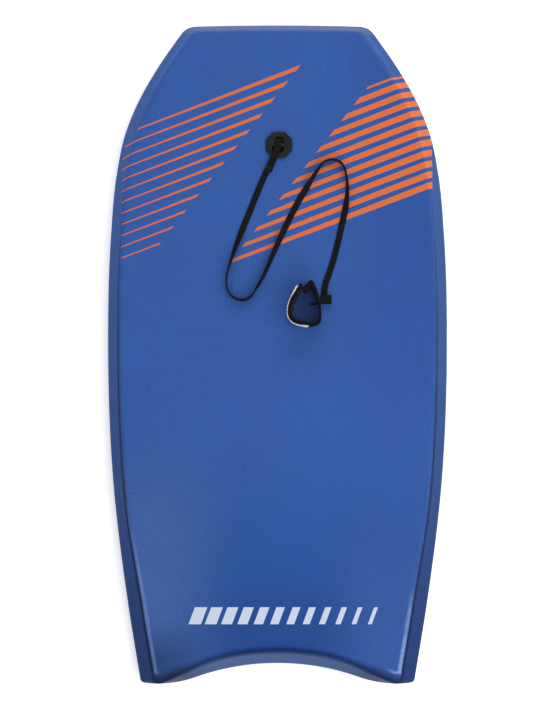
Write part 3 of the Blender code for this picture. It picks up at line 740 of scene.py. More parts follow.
def side_half_width(y):
    """Smooth curve through SIDE_LINE, carried on straight past its ends, at the frame's width."""
    knots = np.array(SIDE_LINE) * MM
    knots[:, 1] *= HALF_WIDTH / (WIDEST * MM)
    slope = np.gradient(knots[:, 1], knots[:, 0])
    i = np.clip(np.searchsorted(knots[:, 0], y) - 1, 0, len(knots) - 2)
    step = knots[i + 1, 0] - knots[i, 0]
    t = np.clip((y - knots[i, 0]) / step, 0, 1)
    inside = (
        (2 * t**3 - 3 * t**2 + 1) * knots[i, 1]
        + (t**3 - 2 * t**2 + t) * step * slope[i]
        + (3 * t**2 - 2 * t**3) * knots[i + 1, 1]
        + (t**3 - t**2) * step * slope[i + 1]
    )
    beyond = np.maximum(y - knots[-1, 0], 0) * slope[-1] + np.minimum(y - knots[0, 0], 0) * slope[0]
    return inside + beyond


def nose_line(x, inset):
    return HALF_LENGTH - NOSE_BOW * (x / NOSE_FALL_WIDTH) ** 2 - inset * NOSE_SHARE


def tail_line(x, inset):
    """A hollow arc across the middle, running into a round peg on each side."""
    taper = np.clip((x - TAIL_TAPER[0]) / (TAIL_TAPER[1] - TAIL_TAPER[0]), 0, 1)
    inset = inset * (1 - TAPER_SHARE * taper**TAPER_POWER)
    arch = ARCH_RADIUS + inset
    peg = PEG_RADIUS - inset
    meeting_x = PEG_X * arch / (arch + peg)  # where the two arcs touch
    on_arch = ARCH_Y + np.sqrt(np.maximum(arch**2 - x**2, 0))
    on_peg = PEG_Y - np.sqrt(np.maximum(peg**2 - (x - PEG_X) ** 2, 0))
    return np.where(x < meeting_x, on_arch, on_peg)


def crossing(points, values):
    """The index before the first sign change of values, and the point where they are zero."""
    i = int(np.where(np.diff(np.sign(values)) != 0)[0][0])
    share = values[i] / (values[i] - values[i + 1])
    return i, points[i] + share * (points[i + 1] - points[i])


def rounded_corner(before, corner, after, count):
    t = np.linspace(0, 1, count + 1)[:, None]
    return (1 - t) ** 2 * before + 2 * t * (1 - t) * corner + t**2 * after


def half_outline(inset, widening=TAIL_WIDENING):
    """Points from the nose centre round the right side to the tail centre, inset from the board's edge."""
    y = np.linspace(HALF_LENGTH + 30 * MM, -HALF_LENGTH - 30 * MM, 1200)
    side = np.stack([side_half_width(y), y], axis=1)
    direction = unit(np.gradient(side, axis=0))
    share = np.clip((y - WIDENING_SPAN[0]) / (WIDENING_SPAN[1] - WIDENING_SPAN[0]), 0, 1)
    inward = inset * (1 + widening * share**2 * (3 - 2 * share))
    side += inward[:, None] * np.stack([direction[:, 1], -direction[:, 0]], axis=1)
    first, nose_corner = crossing(side, side[:, 1] - nose_line(side[:, 0], inset))
    last, tail_corner = crossing(side, side[:, 1] - tail_line(side[:, 0], inset))
    side = np.concatenate(([nose_corner], side[first + 1 : last + 1], [tail_corner]))
    x = np.linspace(0, nose_corner[0], 120)
    nose = np.stack([x, nose_line(x, inset)], axis=1)
    x = np.linspace(tail_corner[0], 0, 400)
    tail = np.stack([x, tail_line(x, inset)], axis=1)

    nose_cut = NOSE_CORNER_TANGENT * (NOSE_CORNER_RADIUS - NOSE_CORNER_SHRINK * inset)
    tail_cut = TAIL_CORNER_TANGENT * (TAIL_CORNER_RADIUS + TAIL_CORNER_GROWTH * inset)
    nose_points = even_steps(nose, NOSE_STEPS, end=nose_cut)
    side_points = even_steps(side, SIDE_STEPS, start=nose_cut, end=tail_cut)
    tail_points = even_steps(tail, TAIL_STEPS, start=tail_cut)
    nose_round = rounded_corner(nose_points[-1], nose_corner, side_points[0], NOSE_CORNER_STEPS)
    tail_round = rounded_corner(side_points[-1], tail_corner, tail_points[0], TAIL_CORNER_STEPS)
    return np.concatenate((nose_points[:-1], nose_round[:-1], side_points[:-1], tail_round[:-1], tail_points))


def lifted(points):
    """Points with the nose raised by the rocker, the bottom more than the deck."""
    points = np.array(points, float)
    share = np.maximum(0, (points[..., 1] - ROCKER_START) / (HALF_LENGTH - ROCKER_START))
    rise = ROCKER_BOTTOM_RISE + (ROCKER_DECK_RISE - ROCKER_BOTTOM_RISE) * points[..., 2] / DECK
    points[..., 2] += share**2 * rise
    return points


def outline_ring(inset, height):
    """The whole closed outline at an inset and a height in mm."""
    half = half_outline(inset * MM)
    ring = np.concatenate((half, half[-2:0:-1] * (-1, 1)))
    return np.column_stack([ring, np.full(len(ring), height * MM)])


# ---- board pieces --------------------------------------------------------------------------------

SHEET_GRID = 24 * MM  # spacing of the cross lines in a sheet's wide faces
CUP_RADIUS = 19.2 * MM  # the plug's cup, under its flange


def cross_lines(bm):
    """Cuts the wide faces into a grid, so that they can follow the rocker."""
    planes = [((0, y, 0), (0, 1, 0)) for y in np.arange(-HALF_LENGTH, HALF_LENGTH, SHEET_GRID)]
    planes += [((x, 0, 0), (1, 0, 0)) for x in np.arange(-10, 11) * SHEET_GRID]
    for place, direction in planes:
        geometry = list(bm.verts) + list(bm.edges) + list(bm.faces)
        bmesh.ops.bisect_plane(bm, geom=geometry, dist=1e-6, plane_co=place, plane_no=direction)


def drill(piece, radius, bottom, top):
    """Cuts a round hole for the plug through a sheet."""
    cutter = placed("drill", bpy.data.meshes.new("drill"))
    with edited(cutter.data) as bm:
        depth = top - bottom
        bmesh.ops.create_cone(bm, cap_ends=True, segments=64, radius1=radius, radius2=radius, depth=depth)
        bmesh.ops.translate(bm, verts=bm.verts, vec=(PLUG.x, PLUG.y, bottom + depth / 2))
    modifier = piece.modifiers.new("hole", "BOOLEAN")
    modifier.operation = "DIFFERENCE"
    modifier.object = cutter
    cut = bpy.data.meshes.new_from_object(piece.evaluated_get(bpy.context.evaluated_depsgraph_get()))
    piece.modifiers.clear()
    piece.data = cut
    bpy.data.objects.remove(cutter)
    shade(cut, SHARP_ANGLE)


def add_sheet(name, edge, material, node, hole):
    """A board-shaped layer whose edge follows the (inset, height) points in mm.

    hole is the plug's hole through it, as (radius, bottom, top).
    """
    points, faces = loft([outline_ring(inset, height) for inset, height in edge])
    sheet = add_piece(name, points, faces, material)
    with edited(sheet.data) as bm:
        cross_lines(bm)
    drill(sheet, *hole)
    spots = np.array([vertex.co for vertex in sheet.data.vertices])
    sheet.data.vertices.foreach_set("co", lifted(spots).astype(np.float32).ravel())
    settle(sheet, "board", node)


def rail_section():
    """The strip's outer face as a smooth line, and its hidden back, as (inset, height) in mm."""
    face = smooth_path(RAIL_FACE, 2.4)
    return [tuple(point) for point in face] + RAIL_BACK


END_GAP = 0.6  # of the usual gap, where a strip's end meets the next strip
END_RIM = 0.9 * MM  # length of its end that is drawn in
END_PINCH = 0.012


def add_strip(name, stations, material, node):
    """A foam edge strip. Each station is (1 for right or -1 for left, place on the half outline)."""
    section = rail_section()
    widenings = [TAIL_WIDENING] * (len(section) - len(RAIL_BACK) + 1) + [0] * (len(RAIL_BACK) - 1)
    halves = np.array([half_outline(point[0] * MM, widening) for point, widening in zip(section, widenings)])
    heights = np.array([height for _, height in section]) * MM
    rings = []
    for side, place in stations:
        rings.append(lifted(np.column_stack([halves[:, place] * (side, 1), heights])))
    rings = np.array(rings)
    for end, neighbour in ((0, 1), (-1, -2)):
        towards = unit(rings[neighbour] - rings[end])
        middle = rings[end].mean(axis=0)
        rings[end] += towards * GAP * END_GAP
        rim = np.array([rings[end] + towards * END_RIM])
        rings[end] += (middle - rings[end]) * END_PINCH
        rings = np.concatenate((rings[:1], rim, rings[1:]) if end == 0 else (rings[:-1], rim, rings[-1:]))
    points, faces = loft(rings)
    settle(add_piece(name, points, faces, material), "board", node)


def across_centre(outer, centre):
    """Stations from the left half's outer place over the centre line to the right half's."""
    step = 1 if centre > outer else -1
    places = list(range(outer, centre + step, step))
    return [(-1, place) for place in places[:-1]] + [(1, place) for place in reversed(places)]


def build_board():
    deck = deck_material()
    # Painted light: each strip is lighter near the nose than near the tail, and the front strip lighter than
    # the rear
    side = strip_material(
        "side_foam_skin", srgb(44, 79, 143), srgb(12, 47, 105), 0.14, right_painted_brightness=0.82, painted_nose_light=0.24,
    )
    end = strip_material(
        "end_foam_skin", srgb(65, 88, 140), srgb(52, 78, 126), 0.22, print_on=False, pegs_painted_shade=0.55,
    )
    cup_hole = (CUP_RADIUS + GAP, DECK - 9 * MM, DECK + 9 * MM)
    add_sheet("deck_sheet", DECK_EDGE, deck, "deck_skin", cup_hole)
    slick = slick_material()
    base_hole = (PLUG_RADIUS + GAP, -5 * MM, 5 * MM)
    add_sheet("slick_sheet", SLICK_EDGE, slick, "bottom_slick", base_hole)
    places = range(NOSE_JOINT, TAIL_JOINT + 1)
    add_strip("right_side_strip", [(1, place) for place in places], side, "rail_right")
    add_strip("left_side_strip", [(-1, place) for place in places], side, "rail_left")
    add_strip("front_strip", across_centre(NOSE_JOINT, 0), end, "nose_strip")
    add_strip("rear_strip", across_centre(TAIL_JOINT, HALF_STEPS), end, "tail_strip")
    core = frame["nodes"]["foam_core"]
    core.data.materials.clear()
    core.data.materials.append(bead_material())


# ---- plug ----------------------------------------------------------------------------------------

RING_POINTS = 96
TUBE_RADIUS = 10 * MM
OPENING_HALF_X = 7.2 * MM
OPENING_HALF_Y = 13 * MM
OPENING_SHIFT = -0.4 * MM
OPENING_FLARE = 3.6 * MM


def round_angles(count=RING_POINTS):
    return np.linspace(0, 2 * math.pi, count, endpoint=False)


def on_axes(x, y):
    return np.stack([x, y], axis=1)


def circle(radius):
    angles = round_angles()
    return on_axes(np.cos(angles), np.sin(angles)) * radius


def octagon(half):
    """An octagon with flats towards the axes, half wide to a flat, its corners a little rounded."""
    angles = round_angles()
    from_flat = (angles + math.pi / 8) % (math.pi / 4) - math.pi / 8
    reach = np.minimum(half / np.cos(from_flat), half * 1.072)
    return on_axes(np.cos(angles), np.sin(angles)) * reach[:, None]


def blunt(values, power):
    """A sine or cosine pushed outwards, keeping its sign."""
    return np.sign(values) * np.abs(values) ** power


def soft_box(half_x, half_y, squareness=5.0):
    """A rectangle with round corners."""
    angles = round_angles()
    power = 2 / squareness
    return on_axes(blunt(np.cos(angles), power) * half_x, blunt(np.sin(angles), power) * half_y)


def opening(half_x, half_y):
    """The plug's opening, which widens on the left below the bar, where the webbing leaves it."""
    ring = soft_box(half_x, half_y)
    below_bar = np.clip((2 * MM - ring[:, 1]) / (4 * MM), 0, 1)
    ring[:, 0] += below_bar * OPENING_FLARE * np.minimum(ring[:, 0] / half_x, 0)
    ring[:, 0] += OPENING_SHIFT
    return ring


def stack_rings(levels, centre):
    """Body through flat rings. Each level is (ring in metres, height)."""
    return loft([np.column_stack([ring + (centre.x, centre.y), np.full(len(ring), z)]) for ring, z in levels])


def build_plug():
    plastic = moulded_material("plug_plastic", srgb(18, 19, 20))
    half = FLANGE_HALF
    top = FLANGE_TOP
    base = DECK + GAP
    cup_bottom = DECK - 11 * MM
    floor = top + MM - 12 * MM
    bore = 5.8 * MM
    edge = 0.6 * MM  # rounding of the tube's and the cup's lower edges
    levels = [
        (circle(bore * 0.9), STUD_TOP + 0.9 * MM), (circle(bore), STUD_TOP + 0.4 * MM),
        (circle(bore), TUBE_BOTTOM), (circle(TUBE_RADIUS - edge), TUBE_BOTTOM),
        (circle(TUBE_RADIUS), TUBE_BOTTOM + edge), (circle(TUBE_RADIUS), cup_bottom),
        (circle(CUP_RADIUS - edge), cup_bottom), (circle(CUP_RADIUS), cup_bottom + edge),
        (circle(CUP_RADIUS), base), (octagon(half - 0.5 * MM), base), (octagon(half), base + 0.5 * MM),
    ]
    # The flange's bevel and groove: (inset from its flats, depth under its top), in mm
    bevel = [(0, 1.9), (0.15, 1.5), (1.5, 0.25), (1.9, 0)]
    groove = [(3.4, 0), (3.9, 0.45), (4.9, 0.45), (5.3, 0.1)]
    levels += [(octagon(half - inset * MM), top - depth * MM) for inset, depth in bevel + groove]
    # (how much wider than the opening, height) down into the cup, in mm
    wall = [(1.1, top - 0.1 * MM), (0.3, top - 0.5 * MM), (0, top - 1.2 * MM)]
    wall += [(0, floor + 1.2 * MM), (-0.5, floor + 0.3 * MM), (-1.5, floor)]
    levels += [(opening(OPENING_HALF_X + wider * MM, OPENING_HALF_Y + wider * MM), z) for wider, z in wall]
    centre = Vector((PLUG.x, PLUG.y, 0))
    points, faces = stack_rings(levels, centre)
    cap = add_piece("plug_flange_and_cup", points, faces, plastic, sharp_angle=32)
    settle(cap, "board", "plug_cap")

    angles = round_angles(40)
    rings = []
    # (distance from its middle, radius) in mm: the bar is thicker where it runs into the flange
    half_bar = [(8.5, 2.5), (10, 2.55), (11, 2.9), (12, 3.1)]
    for x, radius in [(-x, radius) for x, radius in reversed(half_bar)] + half_bar:
        offsets = np.stack([np.zeros(40), np.cos(angles), np.sin(angles)], axis=1) * radius * MM
        rings.append(offsets + (PLUG.x + x * MM, PLUG.y, BAR_HEIGHT))
    points, faces = loft(rings)
    settle(add_piece("plug_cross_bar", points, faces, plastic), "board")

    face = BASE_BOTTOM
    back = face + 3 * MM
    slot = soft_box(13 * MM, 1.5 * MM, 7.0)
    slot_rim = soft_box(13.5 * MM, 2.0 * MM, 7.0)
    stud = 5.5 * MM
    levels = [(circle(stud - 0.9 * MM), STUD_TOP), (circle(stud), STUD_TOP - 0.9 * MM), (circle(stud), back)]
    levels += [(circle(PLUG_RADIUS - 0.4 * MM), back), (circle(PLUG_RADIUS), back - 0.4 * MM)]
    # The underside's rim and groove: (inset from its edge, depth into the plug), in mm
    rim = [(0, 0.9), (0.3, 0.3), (1.0, 0), (3.0, 0), (3.6, 0.5), (4.6, 0.5), (5.1, 0.2)]
    levels += [(circle(PLUG_RADIUS - inset * MM), face + depth * MM) for inset, depth in rim]
    levels += [(slot_rim, face + 0.2 * MM), (slot, face + 0.5 * MM), (slot, face + 1.4 * MM)]
    points, faces = stack_rings(levels, centre)
    screw = add_piece("plug_screw_base", points, faces, plastic, sharp_angle=32)
    settle(screw, "board", "plug_base")


# ---- webbing -------------------------------------------------------------------------------------


def across(plan):
    """Level unit vectors square to a path, pointing to its left."""
    direction = unit(np.gradient(plan[:, :2], axis=0))
    return np.stack([-direction[:, 1], direction[:, 0], np.zeros(len(plan))], axis=1)


def web_section(width, thickness, count=24, square=0.34):
    """A flat band's section with soft edges, as (across, deep)."""
    angles = round_angles(count) + math.pi / count
    wide, deep = blunt(np.cos(angles), square), blunt(np.sin(angles), 0.5)
    return on_axes(wide * width / 2, deep * thickness / 2)


def sweep(points, sides, lean, section):
    """Rings of a band along 3-D points, and each ring point's weave coordinates.

    sides are level vectors across it, lean turns it about its length, and section is one (across, deep)
    outline, or one for each point.
    """
    forward = unit(np.gradient(points, axis=0))
    upward = np.cross(forward, sides)
    lean = np.broadcast_to(lean, len(points))[:, None]
    wide = sides * np.cos(lean) + upward * np.sin(lean)
    deep = upward * np.cos(lean) - sides * np.sin(lean)
    section = np.broadcast_to(section, (len(points), *np.shape(section)[-2:]))
    rings = points[:, None] + section[..., :1] * wide[:, None] + section[..., 1:] * deep[:, None]
    run = np.broadcast_to(lengths(points)[:, None, None], (*section.shape[:2], 1))
    return rings, np.concatenate([run, section], axis=-1)


def add_band(name, points, sides, lean, section, material, sharp_angle=60):
    rings, lay = sweep(points, sides, lean, section)
    points, faces = loft(rings)
    return add_piece(name, points, faces, material, lay.reshape(-1, 3), sharp_angle)


def web_plan():
    return smooth_path(np.array(WEB_PLAN) * MM, 1 * MM)


def web_points(start, end):
    """Middle of the webbing on the deck between two distances along it, with its side vectors and lean."""
    plan = web_plan()
    spots = np.linspace(start, end, max(2, round((end - start) / WEB_STEP)) + 1)
    flat = along(plan, spots)
    sides = unit(sampled(plan, across(plan), spots))
    keys = np.array(WEB_LEAN)
    lean = np.radians(np.interp(spots, keys[:, 0] * MM, keys[:, 1]))
    kernel = np.hanning(9) / np.hanning(9).sum()
    lean = np.convolve(np.pad(lean, 4, mode="edge"), kernel, mode="valid")
    rise = WEB_WIDTH / 2 * np.sin(lean) + WEB_THICKNESS / 2 * np.cos(lean)
    return np.column_stack([flat, DECK + GAP + rise]), sides, lean


def fold_points():
    """The folded layer, the wrap round the bar, and the layer on top, as 3-D points with side vectors."""
    folded = smooth_path(np.array(FOLDED_LAYER) * MM, WEB_STEP)
    top = smooth_path(np.array(TOP_LAYER) * MM, WEB_STEP)
    turns = np.linspace(math.pi / 2 - FOLD_TANGENT, math.pi * 1.5, WRAP_STEPS + 1)[:-1]
    rows = [(distance, 0, DECK + height) for distance, height in folded]
    rows += [(0, WRAP_RADIUS * math.cos(a), BAR_HEIGHT - WRAP_RADIUS * math.sin(a)) for a in turns]
    rows += [(distance, 0, DECK + height) for distance, height in top]
    rows = np.array(rows)
    plan = web_plan()
    flat = along(plan, rows[:, 0])
    flat[:, 1] -= rows[:, 1]
    sides = sampled(plan, across(plan), rows[:, 0])
    skew = np.where(np.arange(len(rows)) < len(folded), rows[:, 0] / FOLD_LENGTH, 0) ** 1.5
    flat += sides[:, :2] * (FOLD_SKEW * skew)[:, None]
    sides[rows[:, 0] == 0] = (1, 0, 0)
    return np.column_stack([flat, rows[:, 2]]), unit(sides)


def build_webbing():
    """The webbing as three pieces, which meet in the middle of a leg."""
    weave = woven_material("black_webbing", srgb(4, 4, 5), srgb(27, 26, 23), 0.9 * MM, 1.3 * MM)
    section = web_section(WEB_WIDTH, WEB_THICKNESS)
    total = lengths(web_plan())[-1]
    fold, fold_sides = fold_points()
    start = TOP_LAYER[-1][0] * MM + WEB_STEP
    spans = [
        ("webbing_at_plug", start, MIDDLE_SPLIT, "strap_plug_leg"),
        ("webbing_middle", MIDDLE_SPLIT, CUFF_SPLIT, "strap_middle_leg"),
        ("webbing_at_cuff", CUFF_SPLIT, total, "strap_cuff_leg"),
    ]
    webs = []
    for name, begin, end, node in spans:
        points, sides, lean = web_points(begin, end)
        if node == "strap_plug_leg":
            points = np.concatenate((fold, points))
            sides = np.concatenate((fold_sides, sides))
            lean = np.concatenate((np.zeros(len(fold)), lean))
        web = add_band(name, points, sides, lean, section, weave)
        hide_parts(node)
        webs.append(web)
    bends = [("strap_bend_1", "plug_leg", "middle_leg"), ("strap_bend_2", "middle_leg", "cuff_leg")]
    for web, (joint, near, far) in zip(webs, bends):
        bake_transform(web)
    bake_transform(webs[2])
    return weave


# ---- thread --------------------------------------------------------------------------------------


# A stitch's rings: (share of its length, share of its radius, rise in radii)
STITCH_SHAPE = [
    (0, 0.45, -0.9), (0.10, 0.85, -0.2), (0.3, 1, 0.35), (0.7, 1, 0.35), (0.9, 0.85, -0.2), (1, 0.45, -0.9),
]


def stitch(start, end, up, radius):
    """One visible stitch: a short thread that rises from the cloth and sinks back."""
    start, end, up = (np.array(v, float) for v in (start, end, up))
    side = np.cross(up, end - start)
    side /= np.linalg.norm(side)
    angles = round_angles(8)
    rings = []
    lay = []
    for share, size, rise in STITCH_SHAPE:
        middle = start + (end - start) * share + up * rise * radius
        ring = middle + (np.cos(angles)[:, None] * side + np.sin(angles)[:, None] * up) * radius * size
        rings.append(ring)
        lay += [(np.linalg.norm(end - start) * share, angle * radius, 0) for angle in angles]
    points, faces = loft(rings)
    return points, faces, lay


def add_stitches(name, stitches, material, body, radius=0.32 * MM, node=None):
    """stitches holds (start, end, up) for each."""
    made = [stitch(start, end, up, radius) for start, end, up in stitches]
    points, faces = joined([(points, faces) for points, faces, _ in made])
    lay = [row for _, _, rows in made for row in rows]
    settle(add_piece(name, points, faces, material, lay, 80), body, node)


def stitch_line(points, ups, length=2.6 * MM, space=0.9 * MM):
    """Stitches along a line of 3-D points."""
    total = lengths(points)[-1]
    count = max(1, int(total / (length + space)))
    pitch = total / count
    starts = np.arange(count) * pitch + (pitch - length) / 2
    begin = along(points, starts)
    finish = along(points, starts + length)
    ups = np.broadcast_to(ups, points.shape)
    up = unit(sampled(points, ups, starts + length / 2))
    return list(zip(begin, finish, up))


def bar_tack(centre, along_bar, across_bar, up, length, width, count):
    """A dense row of threads, each lying across the bar."""
    centre, along_bar, across_bar = (np.array(v, float) for v in (centre, along_bar, across_bar))
    stitches = []
    for i in range(count):
        middle = centre + along_bar * (i / (count - 1) - 0.5) * length
        slant = along_bar * length / count * 0.45
        half = across_bar * width / 2
        stitches.append((middle - half - slant, middle + half + slant, up))
    return stitches


def build_stitching(thread):
    """The bar tack that closes the webbing's fold at the plug."""
    plan = web_plan()
    spot = FOLD_LENGTH - 5 * MM
    middle = along(plan, [spot])[0]
    side = unit(sampled(plan, across(plan), [spot]))[0]
    forward = np.array((side[1], -side[0], 0))
    centre = np.array((middle[0], middle[1], DECK + 3.0 * MM + WEB_THICKNESS / 2 + 0.1 * MM))
    stitches = bar_tack(centre, side, forward, (0, 0, 1), 8.6 * MM, 3.4 * MM, 15)
    add_stitches("fold_bar_stitching", stitches, thread, "plug_leg", 0.36 * MM, "fold_bar_tack")


# ---- cuff ----------------------------------------------------------------------------------------

BAND_STEP = 1.5 * MM
ANCHOR_REACH = 2.8 * MM  # how far the folded end runs past the frame's tab, towards the leaning wall


def standing_path(line, low, high, offset=0.0):
    """Middle points of a band that stands on the deck between two heights over it, and its side vectors.

    offset moves it to its left, or to its right below zero.
    """
    plan = smooth_path(np.array(line) * MM, BAND_STEP)
    sides = across(plan)
    inward = FLARE * (CUFF_TOP - DECK - (low + high) / 2)
    plan = plan + sides[:, :2] * (offset + inward)
    return np.column_stack([plan, np.full(len(plan), DECK + (low + high) / 2)]), sides


def band_section(height, thickness, crown=0.0, count=44):
    """A standing band's section, (up, out), pinched at its bound edges by the crown share."""
    angles = round_angles(count) + math.pi / count
    up, out = blunt(np.cos(angles), 0.55), blunt(np.sin(angles), 0.42)
    swell = 1 - crown * np.abs(up) ** 4
    return on_axes(up * height / 2, out * swell * thickness / 2)


def crumple(rings, amount, size, seed):
    """Moves a band's points in and out by smooth noise."""
    flat = rings.reshape(-1, 3)
    middle = rings.mean(axis=1)
    outward = rings - middle[:, None]
    outward[..., 2] = 0
    outward /= np.maximum(np.linalg.norm(outward, axis=-1, keepdims=True), 1e-9)
    offsets = wobble(flat * (1, 1, 0.6), size, seed).reshape(rings.shape[:2])
    return rings + outward * (offsets * amount)[..., None]


def without_ends(points, sides, skip):
    """The path and its side vectors, leaving out a length at each end."""
    run = lengths(points)
    kept = (run >= skip) & (run <= run[-1] - skip)
    return points[kept], sides[kept]


def add_standing_band(
    name, line, span, thickness, material, crown=0.0, rumple=0.0, seed=1.0, offset=0.0, skip=0.0
):
    """A cuff band as its own piece, which rides on nothing yet.

    span is its lower and upper edge over the deck; thickness is one value, or one in mm at each point of the
    line. skip is left out at each end.
    """
    points, sides = without_ends(*standing_path(line, *span, offset), skip)
    if np.ndim(thickness):
        knots = np.array(line) * MM
        share = lengths(points[:, :2]) / lengths(points[:, :2])[-1]
        thickness = np.interp(share, lengths(knots) / lengths(knots)[-1], np.array(thickness) * MM)
    thickness = np.broadcast_to(thickness, len(points))
    end_round = np.minimum(np.arange(len(points)), np.arange(len(points))[::-1]) / 2
    thin = np.sqrt(np.clip(end_round, 0.12, 1))
    height = span[1] - span[0]
    section = np.array([band_section(height, value, crown) for value in thickness * thin])
    rings, lay = sweep(points, sides, math.pi / 2 + FLARE, section)
    if rumple:
        rings = crumple(rings, rumple, 7 * MM, seed)
    points, faces = loft(rings)
    return add_piece(name, points, faces, material, lay.reshape(-1, 3), 60)


def band_seam(line, offset, height, skip=0.0):
    """Stitches along a standing band's face, offset from its middle, leaving out a length at each end."""
    points, sides = without_ends(*standing_path(line, height, height, offset), skip)
    return stitch_line(points, sides * np.sign(offset), 2.4 * MM, 1.0 * MM)


def upright_seam(line, offset, low, high, run):
    """Stitches up a standing band's face, at a distance along it."""
    ends = []
    for height in (low, high):
        points, sides = standing_path(line, height, height, offset)
        ends.append(sampled(points, points, [run])[0])
        face = sampled(points, sides, [run])[0] * np.sign(offset)
    return stitch_line(np.array(ends), face, 2.4 * MM, 1.0 * MM)


def edge_binding(name, line, height, width, drop, material):
    """A folded tape over a band's edge."""
    points, sides = standing_path(line, height, height)
    angles = round_angles(20)
    section = on_axes(np.cos(angles) * width / 2, np.sin(angles) * drop / 2)
    settle(add_band(name, points, sides, 0.0, section, material), "cuff")


def build_cuff(weave, thread):
    jersey = knit_material()
    yarn = srgb(4, 4, 5)
    band_weave = woven_material("cuff_band_weave", yarn, srgb(25, 25, 23), 1.0 * MM, 1.2 * MM)
    tape_weave = woven_material("binding_tape", yarn, srgb(23, 23, 23), 0.7 * MM, 0.8 * MM, 0.12 * MM)
    pad_top = CUFF_TOP - DECK - 0.6 * MM
    pad = add_standing_band(
        "padded_band", PAD_LINE, (GAP, pad_top), PAD_THICKNESS, jersey,
        crown=0.45, rumple=0.3 * MM, seed=2.3,
    )
    settle(pad, "cuff", "cuff_pad")
    for name, height in (("pad_top_binding", pad_top - 0.8 * MM), ("pad_bottom_binding", GAP + 1.4 * MM)):
        edge_binding(name, PAD_LINE, height, 3.9 * MM, 2.8 * MM, tape_weave)
    tape = add_standing_band(
        "hook_tape", PAD_LINE, (7 * MM, 30 * MM), 0.7 * MM, hook_material(),
        offset=-3.3 * MM, skip=29 * MM,
    )
    settle(tape, "cuff")
    band_top = BAND_TOP - DECK
    band = add_standing_band(
        "side_band", SIDE_BAND_LINE, (BAND_LOW, band_top), SIDE_BAND_THICKNESS, band_weave,
        rumple=0.15 * MM, seed=5.1,
    )
    settle(band, "cuff", "cuff_side_band")
    tail_top = TAIL_WEB_TOP - DECK
    tail = add_standing_band("webbing_tail", TAIL_LINE, (GAP, tail_top), 2.6 * MM, weave)
    settle(tail, "cuff", "strap_tail")
    flap_top = FLAP_TOP - DECK
    flap = add_standing_band(
        "closing_flap", FLAP_LINE, (BAND_LOW, flap_top), FLAP_THICKNESS, loop_material(),
        rumple=0.08 * MM, seed=7.7,
    )
    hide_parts("cuff_flap")
    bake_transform(flap)

    low, high = BAND_LOW + 2 * MM, flap_top - 2 * MM
    face = -0.72 * MM
    seams = band_seam(FLAP_LINE, face, low, 17 * MM) + band_seam(FLAP_LINE, face, high, 17 * MM)
    seams += upright_seam(FLAP_LINE, -1.75 * MM, low, high, 6 * MM)
    grey_thread = thread_material("grey_thread", srgb(120, 118, 117), srgb(190, 188, 186))
    add_stitches("flap_stitching", seams, grey_thread, "flap")
    seams = band_seam(SIDE_BAND_LINE[:8], -1.1 * MM, low, 2 * MM)
    seams += band_seam(SIDE_BAND_LINE[:8], -1.1 * MM, band_top - 2 * MM, 2 * MM)
    for run in (1.6 * MM, 3.6 * MM):
        seams += upright_seam(SIDE_BAND_LINE, -1.25 * MM, low, band_top - 2 * MM, run)
    for height in (3.4 * MM, pad_top - 3 * MM):
        seams += band_seam(PAD_LINE, 1.95 * MM, height, 2 * MM)
    add_stitches("cuff_stitching", seams, thread, "cuff")


def build_anchor(weave, thread):
    """The strap's end, folded over on itself beside the cuff and sewn with a boxed cross."""
    low, high = ANCHOR_LOW, ANCHOR_HIGH
    turn = (high.z - low.z - WEB_THICKNESS) / 2
    level = (low.z + high.z) / 2
    inner, outer = low.x - ANCHOR_REACH, high.x - turn - WEB_THICKNESS / 2
    layer = np.linspace(inner, outer, 9)
    path = [(x, level - turn) for x in layer[:-1]]
    bend = np.linspace(-math.pi / 2, math.pi / 2, 13)
    path += [(outer + turn * math.cos(a), level + turn * math.sin(a)) for a in bend]
    path += [(x, level + turn) for x in layer[-2::-1]]
    path = np.array([(x, (low.y + high.y) / 2, z) for x, z in path])
    sides = np.tile((0.0, 1.0, 0.0), (len(path), 1))
    section = web_section(high.y - low.y, WEB_THICKNESS, 32, 0.28)
    settle(add_band("anchor_loop", path, sides, 0.0, section, weave), "cuff", "anchor_tab")
    left, right = inner + 2 * MM, high.x - 3 * MM
    near, far = low.y + 2 * MM, high.y - 2 * MM
    top = high.z + 0.05 * MM
    corners = [(left, near, top), (right, near, top), (right, far, top), (left, far, top)]
    stitches = []
    for a, b in ((0, 1), (1, 2), (2, 3), (3, 0), (0, 2), (1, 3)):
        ends = np.array((corners[a], corners[b]))
        stitches += stitch_line(ends, (0.0, 0.0, 1.0), 2.0 * MM, 0.7 * MM)
    add_stitches("anchor_box_stitching", stitches, thread, "cuff", 0.26 * MM, "anchor_bar_tack")


# ---- studio --------------------------------------------------------------------------------------


def add_area_light(name, place, size, power, target=(0, 0, 0)):
    light = bpy.data.lights.new(name, "AREA")
    light.shape = "RECTANGLE"
    light.size, light.size_y = size
    light.energy = power
    lamp = placed(name, light)
    lamp.location = place
    lamp.rotation_mode = "QUATERNION"
    lamp.rotation_quaternion = (Vector(target) - Vector(place)).to_track_quat("-Z", "Y")
    lamp.visible_camera = False


FLOOR_REACH = 30  # metres each way
WORLD_LIGHT = 0.40
WORLD_SEEN = 0.98  # as the camera sees it, behind the floor


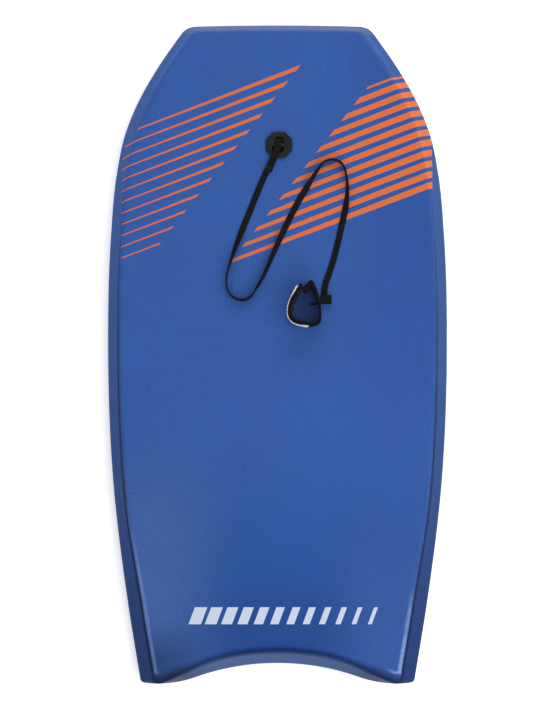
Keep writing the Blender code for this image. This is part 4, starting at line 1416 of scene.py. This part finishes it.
def build_studio():
    floor = placed("studio_floor", bpy.data.meshes.new("studio_floor"))
    with edited(floor.data) as bm:
        bmesh.ops.create_grid(bm, x_segments=2, y_segments=2, size=FLOOR_REACH)
    floor.location.z = -GAP
    floor.data.materials.append(floor_material())

    world = bpy.data.worlds.new("studio")
    bpy.context.scene.world = world
    world.use_nodes = True
    nodes, links = world.node_tree.nodes, world.node_tree.links
    background = nodes["Background"]
    background.inputs[0].default_value = (1, 1, 1, 1)
    rays = nodes.new("ShaderNodeLightPath")
    level = nodes.new("ShaderNodeMapRange")
    level.inputs[3].default_value = WORLD_LIGHT
    level.inputs[4].default_value = WORLD_SEEN
    links.new(rays.outputs["Is Camera Ray"], level.inputs[0])
    links.new(level.outputs[0], background.inputs[1])

    add_area_light("overhead_softbox", (0.6, -0.1, 3.0), (1.6, 2.0), 12, (0, 0.05, 0))
    add_area_light("nose_softbox", (0.3, 2.7, 1.5), (2.8, 1.2), 50)
    add_area_light("tail_softbox", (0.9, -2.6, 1.7), (2.6, 1.2), 44)
    add_area_light("right_softbox", (2.6, -0.4, 1.9), (1.4, 2.4), 32)
    add_area_light("left_softbox", (-2.6, -0.2, 1.6), (1.2, 2.4), 7)


VIEW_HEIGHT = 1158.5 * MM  # at the board
CAMERA_HEIGHT = 4.0
CAMERA_SETBACK = 0.30
VIEW_CENTRE = Vector((4 * MM, -9.1 * MM, 22 * MM))


def build_camera():
    camera = placed("camera", bpy.data.cameras.new("camera"))
    camera.location = VIEW_CENTRE + Vector((0, -CAMERA_SETBACK, CAMERA_HEIGHT))
    distance = (VIEW_CENTRE - camera.location).length
    camera.data.sensor_width = 36
    camera.data.lens = camera.data.sensor_width * distance / VIEW_HEIGHT
    camera.rotation_euler = (math.atan2(CAMERA_SETBACK, CAMERA_HEIGHT), 0, 0)
    bpy.context.scene.camera = camera
    bpy.context.scene.view_settings.view_transform = "Standard"


build_board()
build_plug()
WEAVE = build_webbing()
THREAD = thread_material("black_thread", srgb(10, 10, 11), srgb(34, 34, 35))
build_stitching(THREAD)
build_cuff(WEAVE, THREAD)
build_anchor(WEAVE, THREAD)
build_studio()
build_camera()
